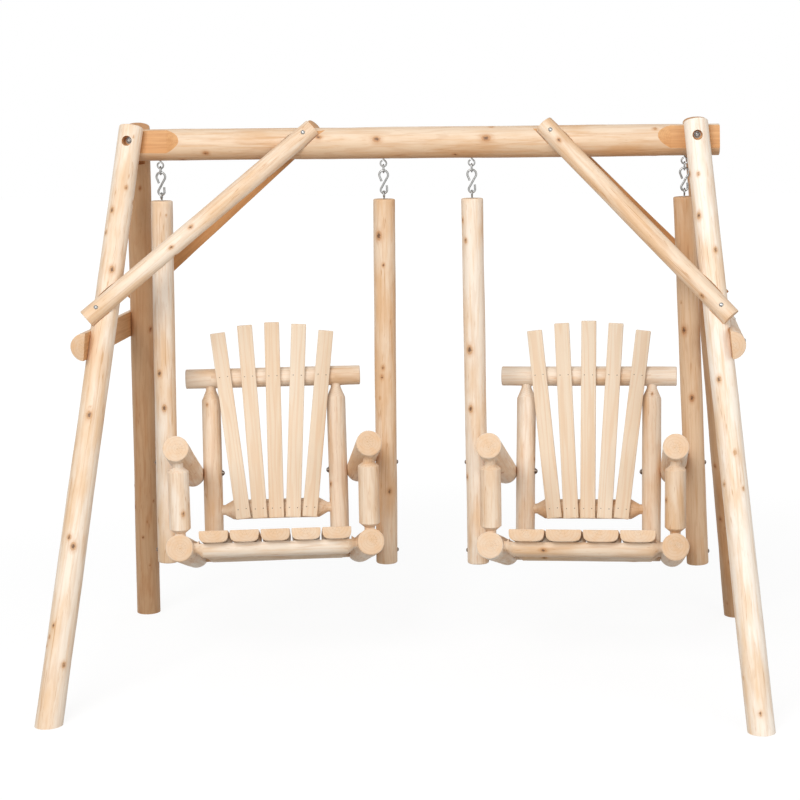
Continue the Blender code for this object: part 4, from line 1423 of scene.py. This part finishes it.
# %% Chair plan
class ChairPlan:
    """Where the pieces of one chair lie, worked out from its own few sizes."""

    def __init__(self, name, spec):
        self.name = name
        self.spec = spec
        self.body = f"{name}_chair"
        self.turn = Matrix.Rotation(spec["turn"], 3, "Z")
        self.taper = (REAR_HALF - spec["front_half"]) / (REAR_SIZED_AT - CHAIR_FRONT)
        self.seat_normal = self.turn @ Vector((0, math.sin(RAIL_SLOPE), math.cos(RAIL_SLOPE)))
        self.back_normal = self.turn @ Vector((0, -math.cos(BACK_RECLINE), math.sin(BACK_RECLINE)))

    def place(self, x, y, z):
        """From the chair's own axes, square to its seat, to the frame's."""
        return Vector((self.spec["centre"], 0, 0)) + self.turn @ Vector((x, y, z))

    def half_at(self, y):
        """Half the distance between the side rails' axes, which close in towards the rear."""
        return self.spec["front_half"] + self.taper * (y - CHAIR_FRONT)

    def rail_height(self, y):
        return RAIL_HEIGHT - (y - CHAIR_FRONT) * math.tan(RAIL_SLOPE)

    def arm_height(self, y):
        return ARM_HEIGHT - (y - CHAIR_FRONT) * math.tan(ARM_SLOPE)

    def hanger_at(self, side, height):
        """A point on a hanger post's axis: on the line of the eyes, beside the rail and the arm."""
        turn = self.spec["turn"]
        beside = self.half_at(0) + RAIL_RADIUS + HANGER_RADIUS - POST_SEAT
        out = beside / (math.cos(turn) + side * self.taper * math.sin(turn))
        seat_height = (self.rail_height(0) + self.arm_height(0)) / 2
        out += self.spec[f"{SIDES[side]}_lean"] * (seat_height - height)
        return Vector((self.spec["centre"] + side * out, 0, height))

    def hanger_line(self, side):
        return self.hanger_at(side, HANGER_FOOT), self.hanger_at(side, HANGER_TOP)

    def arm_post_line(self, side):
        y = CHAIR_FRONT + ARM_POST_SET_BACK
        x = side * self.half_at(y)
        low = self.place(x, y, self.rail_height(y) + RAIL_RADIUS / math.cos(RAIL_SLOPE))
        return low, self.place(x, y, self.arm_height(y) - ARM_RADIUS / math.cos(ARM_SLOPE))

    def cross_rail_ends(self, y):
        inner = self.half_at(y) - RAIL_RADIUS
        height = self.rail_height(y)
        return self.place(-inner, y, height), self.place(inner, y, height)

    def back_axis(self, x, height):
        """A point on the plane of the back posts' axes."""
        y = CHAIR_FRONT + BACK_POST_SET_BACK + (height - RAIL_HEIGHT) * math.tan(BACK_RECLINE)
        return self.place(x, y, height)

    def back_post_line(self, side):
        """From the foot of a back post to its shoulder under the top rail."""
        foot = self.back_axis(side * BACK_POST_HALF, BACK_POST_FOOT)
        centre = self.back_axis(side * BACK_POST_HALF, TOP_RAIL_HEIGHT)
        return foot, centre - (centre - foot).normalized() * TOP_RAIL_RADIUS

    def lower_rail_ends(self):
        inner = BACK_POST_HALF - BACK_POST_RADIUS
        return self.back_axis(-inner, LOWER_RAIL_HEIGHT), self.back_axis(inner, LOWER_RAIL_HEIGHT)

    def seat_width(self):
        count = self.spec["seat_slats"]
        return count * self.spec["slat_width"] + (count - 1) * SEAT_SLAT_GAP

    def seat_slat_places(self):
        count = self.spec["seat_slats"]
        raised = self.seat_normal * SEAT_SLAT_LIFT
        front = CHAIR_FRONT + SEAT_SLAT_FRONT - math.sin(RAIL_SLOPE) * SEAT_SLAT_LIFT
        rear = front + SEAT_SLAT_LENGTH * math.cos(RAIL_SLOPE)
        for index in range(count):
            x = (index - (count - 1) / 2) * (self.spec["slat_width"] + SEAT_SLAT_GAP)
            start = self.place(x, front, self.rail_height(front)) + raised
            end = self.place(x, rear, self.rail_height(rear)) + raised
            yield along(start, end, -self.seat_normal)

    def back_slat_places(self):
        """The place and the length of each slat, fanned out and shorter towards the sides."""
        stand_off = self.back_normal * (TOP_RAIL_RADIUS - BACK_SLAT_SINK)
        for index in range(BACK_SLATS):
            step = index - (BACK_SLATS - 1) / 2
            low = self.back_axis(step * BACK_SLAT_LOW_STEP, BACK_SLAT_LOW) + stand_off
            top_height = BACK_SLAT_TOP - BACK_SLAT_TOP_DROP * step * step
            high = self.back_axis(step * BACK_SLAT_TOP_STEP, top_height) + stand_off
            yield along(low, high, self.back_normal), (high - low).length


for chair_name, chair_spec in CHAIRS.items():
    print(chair_name, "chair's seat is", round(ChairPlan(chair_name, chair_spec).seat_width(), 3), "m wide")

# %% [markdown]
# ## Tenons and mortises
#
# The rails and posts end in a shoulder and a tenon, as if turned by a tenon cutter, and the log that they
# enter has a bored mortise. A tenon could be a log of its own, pushed into both, but a few more points at
# the end of the profile make it in the same spin. The other joint is a shallow flat, where a post stands
# against a rail or where slats are nailed on.

# %% Tenons and mortises
TENON_RADIUS = 0.019
TENON_DEPTH = 0.026
TENON_SHOWN = 0.008
REARWARD = Vector((0, 1, 0))


def tenon_end(shoulder_at, toward, body, shoulder):
    """From the body down its shoulder to the tip of the tenon, and to the axis."""
    neck = shoulder_at - toward * TENON_SHOWN
    tip = shoulder_at + toward * TENON_DEPTH
    return [(neck - toward * shoulder, body), (neck, TENON_RADIUS), (tip, TENON_RADIUS), (tip, 0.0)]


def double_tenon_profile(length, body, shoulder):
    return finely(tenon_end(0, -1, body, shoulder)[::-1] + tenon_end(length, 1, body, shoulder))


def mortise(shoulder, toward):
    """A bore from a tenon's shoulder, in the direction that the tenon points."""
    depth = toward.normalized() * (TENON_DEPTH + 2 * CLEAR)
    return bore_cutter(shoulder, shoulder + depth, TENON_RADIUS + CLEAR)


def post_flat(chair, line, radius):
    """The shallow flat where a round post stands against a rail or an arm."""
    start, end = line
    size = radius + CLEAR
    high = (end - start).length + REACH
    place = along(start, end, chair.turn @ REARWARD)
    return block_cutter(place, (-size, -REACH / 2, -REACH), (size, REACH / 2, high))


def slat_flat(start, end, normal, low, reach):
    """The flat along the middle of a rail that its slats are nailed to."""
    middle = (end - start).length / 2
    near, far = middle - reach, middle + reach
    return block_cutter(along(start, end, normal), (-REACH, low, near), (REACH, REACH, far), ROUND_SLOT)


def chair_log(chair, name, start, end, profile, cutters=(), outward=UP, node=None, tone=1.0):
    """One round log of a chair, with its written knots where it has any."""
    node = node or f"{chair.body}_{name}"
    knots = front_knots(node, -math.pi / 2, HANGER_FOOT)
    log(f"{chair.body}_{name}_log", node, chair.body, start, end, profile, cutters, outward, knots, tone)


print("tenons are", round(TENON_DEPTH * 1000), "mm deep")

# %% [markdown]
# ## The sides of a chair
#
# A side is a sloping rail, an arm above it, a short post between the two, and a long hanger post outside.
# The logs could be cut one by one as their neighbours are made, but the Boolean works best once, so the
# cuts that the neighbours need are gathered before each log is made.

# %% Sides of a chair
ARM_LENGTH = 0.62
RAIL_LENGTH = 0.63
ARM_POST_RADIUS = 0.038
ARM_POST_SHOULDER = 0.016
EYE_BORE_SIDES = 16
HANGER_TONES = {("left", -1): 1.06, ("left", 1): 0.93, ("right", -1): 1.02, ("right", 1): 0.85}


def post_flats(chair, side):
    return [post_flat(chair, chair.hanger_line(side), HANGER_RADIUS),
            post_flat(chair, chair.back_post_line(side), BACK_POST_RADIUS)]


def build_sloping(chair, name, side, size, height, cutters):
    """A side rail or an arm, from its length, slope and radius."""
    length, slope, radius = size
    rear = CHAIR_FRONT + length * math.cos(slope)
    start = chair.place(side * chair.half_at(CHAIR_FRONT), CHAIR_FRONT, height(CHAIR_FRONT))
    end = chair.place(side * chair.half_at(rear), rear, height(rear))
    chair_log(chair, name, start, end, plain_profile((end - start).length, radius, radius), cutters)


def build_side_rail(chair, side):
    low, high = chair.arm_post_line(side)
    cuts = post_flats(chair, side) + [mortise(low, low - high)]
    for set_back in (FRONT_RAIL_SET_BACK, REAR_RAIL_SET_BACK):
        left, right = chair.cross_rail_ends(CHAIR_FRONT + set_back)
        cuts.append(mortise(left if side < 0 else right, side * (right - left)))
    size = (RAIL_LENGTH, RAIL_SLOPE, RAIL_RADIUS)
    build_sloping(chair, f"{SIDES[side]}_side_rail", side, size, chair.rail_height, cuts)


def build_arm(chair, side):
    low, high = chair.arm_post_line(side)
    cuts = post_flats(chair, side) + [mortise(high, high - low)]
    size = (ARM_LENGTH, ARM_SLOPE, ARM_RADIUS)
    build_sloping(chair, f"{SIDES[side]}_arm", side, size, chair.arm_height, cuts)


def build_posts(chair, side):
    low, high = chair.arm_post_line(side)
    profile = double_tenon_profile((high - low).length, ARM_POST_RADIUS, ARM_POST_SHOULDER)
    chair_log(chair, f"{SIDES[side]}_arm_post", low, high, profile, (), REARWARD)
    foot, top = chair.hanger_line(side)
    bore = bore_cutter(top, top - UP * EYE_SHANK, EYE_WIRE + CLEAR, EYE_BORE_SIDES)
    profile = plain_profile((top - foot).length, HANGER_RADIUS, HANGER_RADIUS)
    tone = HANGER_TONES[chair.name, side]
    chair_log(chair, f"{SIDES[side]}_hanger_post", foot, top, profile, [bore], REARWARD, tone=tone)


print("arms are", ARM_LENGTH, "m long and side rails", RAIL_LENGTH, "m")

# %% [markdown]
# ## The seat
#
# The seat slats are thick half logs with the flat side up. They are nailed to a front and a rear rail,
# which are planed flat where the slats cross. One board cut into strips would be quicker to model, but
# each slat is its own piece of wood, so each gets its own grain and knots.

# %% Seat
CROSS_RAIL_SHOULDER = 0.025
SEAT_SLAT_FULLNESS = 4.2
SEAT_SLAT_SWELL = 0.012
SEAT_SLAT_KNOTS = 0.6
SEAT_SLAT_TONE = 1.03


def build_cross_rails(chair):
    low = CROSS_RAIL_RADIUS - SEAT_SLAT_SINK - CLEAR
    reach = chair.seat_width() / 2 + SEAT_MARGIN
    for name, node, set_back in (("front_rail", None, FRONT_RAIL_SET_BACK),
                                 ("rear_rail", f"{chair.body}_seat_deck", REAR_RAIL_SET_BACK)):
        left, right = chair.cross_rail_ends(CHAIR_FRONT + set_back)
        profile = double_tenon_profile((right - left).length, CROSS_RAIL_RADIUS, CROSS_RAIL_SHOULDER)
        flat = slat_flat(left, right, chair.seat_normal, low, reach)
        chair_log(chair, name, left, right, profile, [flat], chair.seat_normal, node)


def build_seat(chair):
    size = (chair.spec["slat_width"], SEAT_SLAT_THICKNESS, SEAT_SLAT_LENGTH)
    for index, place in enumerate(chair.seat_slat_places()):
        half_log(f"{chair.body}_seat_slat_{index + 1}", None, chair.body, place, size, SEAT_SLAT_TONE,
                 SEAT_SLAT_FINISHES, SEAT_SLAT_FULLNESS, SEAT_SLAT_SWELL, SEAT_SLAT_KNOTS)


print("seat slats are", SEAT_SLAT_LENGTH, "m long")

# %% [markdown]
# ## The frame of the back
#
# Two posts lean back from the side rails. A top rail lies across their tenons, and a lower rail is let in
# between them. Both rails are planed flat in front for the slats, with the same cutter as the seat's
# rails, so the two joints look alike.

# %% Frame of the back
TOP_RAIL_HALF = 0.335
BACK_POST_SHOULDER = 0.040
LOWER_RAIL_SHOULDER = 0.032
LOWER_RAIL_TONE = 0.94
BACK_SLAT_WIDTH = 0.057
BACK_FLAT = TOP_RAIL_RADIUS - BACK_SLAT_SINK - CLEAR


def build_back_posts(chair):
    left, right = chair.lower_rail_ends()
    for side in SIDES:
        foot, shoulder = chair.back_post_line(side)
        profile = eased_end(0, -1, BACK_POST_RADIUS)
        profile += tenon_end((shoulder - foot).length, 1, BACK_POST_RADIUS, BACK_POST_SHOULDER)
        cut = mortise(left if side < 0 else right, side * (right - left))
        chair_log(chair, f"{SIDES[side]}_back_post", foot, shoulder, finely(profile), [cut], REARWARD)


def build_top_rail(chair):
    left = chair.back_axis(-TOP_RAIL_HALF, TOP_RAIL_HEIGHT)
    right = chair.back_axis(TOP_RAIL_HALF, TOP_RAIL_HEIGHT)
    reach = BACK_SLAT_TOP_STEP * (BACK_SLATS - 1) / 2 + BACK_SLAT_WIDTH / 2
    cuts = [slat_flat(left, right, chair.back_normal, BACK_FLAT, reach)]
    for side in SIDES:
        foot, shoulder = chair.back_post_line(side)
        cuts.append(mortise(shoulder, shoulder - foot))
    profile = plain_profile((right - left).length, TOP_RAIL_RADIUS, TOP_RAIL_RADIUS)
    chair_log(chair, "top_rail", left, right, profile, cuts, chair.back_normal)


def build_lower_rail(chair):
    left, right = chair.lower_rail_ends()
    length = (right - left).length
    profile = double_tenon_profile(length, TOP_RAIL_RADIUS, LOWER_RAIL_SHOULDER)
    flat = slat_flat(left, right, chair.back_normal, BACK_FLAT, length / 2 + REACH)
    node = f"{chair.body}_back_panel"
    chair_log(chair, "lower_rail", left, right, profile, [flat], chair.back_normal, node, LOWER_RAIL_TONE)


print("top rails are", 2 * TOP_RAIL_HALF, "m long")

# %% [markdown]
# ## Back slats
#
# A back slat is a sawn board with its edges eased. Its grain comes from well to one side of the pith, so
# the growth rings cross its face as long, nearly straight lines. A wood texture with straight lines would
# need a second recipe, and moving the pith does it with the one that is there.

# %% Back slats
BACK_SLAT_THICKNESS = 0.018
SLAT_EDGE = 0.003
SLAT_EDGE_STEPS = 3
SLAT_PITH = (0.02, 0.075)
SLAT_TONE_SPREAD = 0.03
SLAT_KNOT_ANGLES = (0.8, 2.3)
SLAT_KNOT_FROM_END = 0.1
SLAT_KNOT_SIZES = (0.3, 0.6)


def back_slat(name, body, place, length):
    bm = box_bmesh((-BACK_SLAT_WIDTH / 2, 0, 0), (BACK_SLAT_WIDTH / 2, BACK_SLAT_THICKNESS, length))
    ease_edges(bm, bm.edges[:], SLAT_EDGE, SLAT_EDGE_STEPS)
    slice_along(bm, length)
    mark_ends(bm)
    angle = rng.uniform(*SLAT_KNOT_ANGLES)
    height = rng.uniform(SLAT_KNOT_FROM_END, length - SLAT_KNOT_FROM_END)
    knots = [(angle, height, rng.uniform(*SLAT_KNOT_SIZES))]
    data = carve(to_mesh(bm, name, place), (), BACK_SLAT_FINISHES)
    pith = (rng.uniform(-SLAT_PITH[0], SLAT_PITH[0]), SLAT_PITH[1], rng.uniform(*GRAIN_STARTS))
    write_grain(data, place, knots, tone_for(SLAT_TONE_SPREAD), pith)
    show(name, data, body)


def build_back_slats(chair):
    for index, (place, length) in enumerate(chair.back_slat_places()):
        back_slat(f"{chair.body}_back_slat_{index + 1}", chair.body, place, length)


print("back slats are", BACK_SLAT_WIDTH, "m wide")

# %% [markdown]
# ## Both chairs
#
# On the bench a chair goes together from its sides, and so it does here: the sides and what they hang by,
# then the seat, then the back. The right chair could be a copy of the left one, but the two differ in
# width, slats and turn, so one function builds each of them from its own plan.

# %% Both chairs
def build_chair(name, spec):
    chair = ChairPlan(name, spec)
    for side in SIDES:
        build_side_rail(chair, side)
        build_arm(chair, side)
        build_posts(chair, side)
        build_suspension(name, side, chair.hanger_at(side, HANGER_TOP).x)
    build_cross_rails(chair)
    build_seat(chair)
    build_back_posts(chair)
    build_top_rail(chair)
    build_lower_rail(chair)
    build_back_slats(chair)
    return chair


chairs = [build_chair(name, spec) for name, spec in CHAIRS.items()]

# %% [markdown]
# ## Bolts and nails
#
# Bolts hold the logs together: a domed head let a little into the wood on the outside, and a washer and a
# hexagonal nut where the thread comes through. Nails hold the slats. Each fastener is made standing on
# its own origin and is then put in place. A separate object for each would fill the scene with small
# pieces, so all of one kind on one body share a mesh.

# %% Fastener shapes
WASHER_RADIUS = 0.0120
WASHER_HEIGHT = 0.0018
WASHER_SIDES = 28
NUT_RADIUS = 0.0098
NUT_HEIGHT = 0.0052
NUT_SIDES = 6
NUT_EDGE = 0.0009
TIP_RADIUS = 0.0048
TIP_HEIGHT = 0.0024
TIP_SIDES = 16
DOME_RADIUS = 0.0078
DOME_SIDES = 20
DOME_PROFILE = ((0.0, 1.0), (0.0014, 0.98), (0.0034, 0.82), (0.0048, 0.5), (0.0054, 0.0))
FASTENER_SINK = 0.0022
NAIL_RADIUS = 0.0020
NAIL_HEIGHT = 0.0008
NAIL_SIDES = 10
ANY_WAY = Vector((0.31, 0.52, 0.79))


def disc(bm, place, radius, low, high, sides):
    """A short cylinder, or a hexagonal prism, between two heights on a place's own Z."""
    made = bmesh.ops.create_cone(bm, cap_ends=True, segments=sides, radius1=radius, radius2=radius,
                                 depth=high - low)
    bmesh.ops.translate(bm, verts=made["verts"], vec=(0, 0, (low + high) / 2))
    bmesh.ops.transform(bm, matrix=place, verts=made["verts"])
    return made["verts"]


def add_nut(bm, place):
    """A washer, a hexagonal nut with its corners eased and the bolt's tip."""
    disc(bm, place, WASHER_RADIUS, -FASTENER_SINK, WASHER_HEIGHT, WASHER_SIDES)
    top = WASHER_HEIGHT + NUT_HEIGHT
    corners = disc(bm, place, NUT_RADIUS, WASHER_HEIGHT - NUT_EDGE, top, NUT_SIDES)
    ease_edges(bm, list({edge for vert in corners for edge in vert.link_edges}), NUT_EDGE, EASED_STEPS)
    disc(bm, place, TIP_RADIUS, top - NUT_EDGE, top + TIP_HEIGHT, TIP_SIDES)


def add_dome(bm, place):
    """A round bolt head, let a little into the wood."""
    heights = [(-FASTENER_SINK, 0.0), (-FASTENER_SINK, 1.0), *DOME_PROFILE]
    head = spun([(height, DOME_RADIUS * share) for height, share in heights], DOME_SIDES)
    data = to_mesh(head, "dome", place)
    bm.from_mesh(data)
    bpy.data.meshes.remove(data)


def add_nail(bm, place):
    disc(bm, place, NAIL_RADIUS, -FASTENER_SINK, NAIL_HEIGHT, NAIL_SIDES)


def facing(point, outward):
    return along(point, point + outward, ANY_WAY)


def show_fasteners(name, body, maker, places, finish, node=None):
    bm = bmesh.new()
    for place in places:
        maker(bm, place)
    print(f"{name}: {len(places)} fasteners")
    show(name, carve(to_mesh(bm, name), (), [finish]), body, node)


print("washers are", round(WASHER_RADIUS * 2000), "mm wide")

# %% [markdown]
# ## Bolts of the frame
#
# A bolt goes through each end of each brace, and through each crossbar where it crosses a leg. The two
# long leg bolts run from the front leg through the beam to the rear leg, with a nut at both ends. Their
# places could be typed in, but they come from the logs' own lines, so they stay with the logs.

# %% Bolts of the frame
BRACE_BOLT_IN = 0.040
BRACE_BOLT_LOW_IN = 0.055
SHANK_SIDES = 20


def brace_bolts():
    for side in SIDES:
        for front in FACES:
            start, end = brace_line(side, front)
            outward = leg_normal(front)
            run = (end - start).normalized()
            for point in (start + run * BRACE_BOLT_IN, end - run * BRACE_BOLT_LOW_IN):
                yield facing(point + outward * BRACE_THICKNESS, outward)


def crossbar_bolts():
    for side in SIDES:
        start, _, outward = crossbar_line(side)
        for front in FACES:
            point = Vector((start.x, leg_at(side, front, CROSSBAR_HEIGHT).y, start.z))
            yield facing(point + outward * CROSSBAR_THICKNESS, outward)


def leg_bolt(bm, shelves):
    """The whole bolt: a shank through both legs and the beam, with a nut and washer on each shelf."""
    near, far = shelves
    out = (near - far).normalized()
    disc(bm, facing(far, out), BOLT_RADIUS, 0, (near - far).length, SHANK_SIDES)
    add_nut(bm, facing(near, out))
    add_nut(bm, facing(far, -out))


show_fasteners("frame_bolts", "frame", add_dome, [*brace_bolts(), *crossbar_bolts()], GALVANISED)
for bolt_side, bolt_name in SIDES.items():
    show_fasteners(f"{bolt_name}_leg_bolt_steel", "frame", leg_bolt, [bolt_line(bolt_side)], GALVANISED,
                   f"{bolt_name}_leg_bolt")

# %% [markdown]
# ## Bolts and nails of the chairs
#
# Bolts join the hanger posts and the back posts to the arm and the side rail. Two nails hold each slat on
# each rail. A nail set by eye would miss its rail when a slope changes, so its place is worked out from
# where the slat crosses the rail.

# %% Bolts and nails of the chairs
NAIL_SPREAD = 0.27


def hanger_bolts(chair):
    """Heads on the outside of the hanger posts, at the arm and at the side rail."""
    for side in SIDES:
        out = chair.turn @ Vector((side, 0, 0))
        for height in (chair.arm_height(0), chair.rail_height(0)):
            yield facing(chair.hanger_at(side, height) + out * HANGER_RADIUS, out)


def back_bolts(chair):
    """Nuts on the inside of the back posts, where the arm and the side rail cross them."""
    lean = math.tan(BACK_RECLINE)
    for side in SIDES:
        out = chair.turn @ Vector((side, 0, 0))
        for start, slope in ((ARM_HEIGHT, math.tan(ARM_SLOPE)), (RAIL_HEIGHT, math.tan(RAIL_SLOPE))):
            height = (start - slope * (BACK_POST_SET_BACK - RAIL_HEIGHT * lean)) / (1 + slope * lean)
            yield facing(chair.back_axis(side * BACK_POST_HALF, height) - out * BACK_POST_RADIUS, -out)


def seat_nails(chair):
    lag = SEAT_SLAT_LIFT * math.tan(RAIL_SLOPE)
    for place in chair.seat_slat_places():
        for set_back in (FRONT_RAIL_SET_BACK, REAR_RAIL_SET_BACK):
            run = (set_back - SEAT_SLAT_FRONT) / math.cos(RAIL_SLOPE) + lag
            for share in (-NAIL_SPREAD, NAIL_SPREAD):
                yield place @ facing(Vector((share * chair.spec["slat_width"], 0, run)), -REARWARD)


def back_nails(chair):
    for place, length in chair.back_slat_places():
        rise = (place @ Vector((0, 0, length)) - place.translation).z
        for height in (LOWER_RAIL_HEIGHT - BACK_SLAT_LOW, TOP_RAIL_HEIGHT - BACK_SLAT_LOW):
            for share in (-NAIL_SPREAD, NAIL_SPREAD):
                point = Vector((share * BACK_SLAT_WIDTH, BACK_SLAT_THICKNESS, length * height / rise))
                yield place @ facing(point, REARWARD)


for chair in chairs:
    nails = [*seat_nails(chair), *back_nails(chair)]
    show_fasteners(f"{chair.body}_heads", chair.body, add_dome, list(hanger_bolts(chair)), NAIL_STEEL)
    show_fasteners(f"{chair.body}_nuts", chair.body, add_nut, list(back_bolts(chair)), NAIL_STEEL)
    show_fasteners(f"{chair.body}_nails", chair.body, add_nail, nails, NAIL_STEEL)

# %% [markdown]
# ## The end
#
# Each piece's box was already measured against its solid's box when the piece was shown.
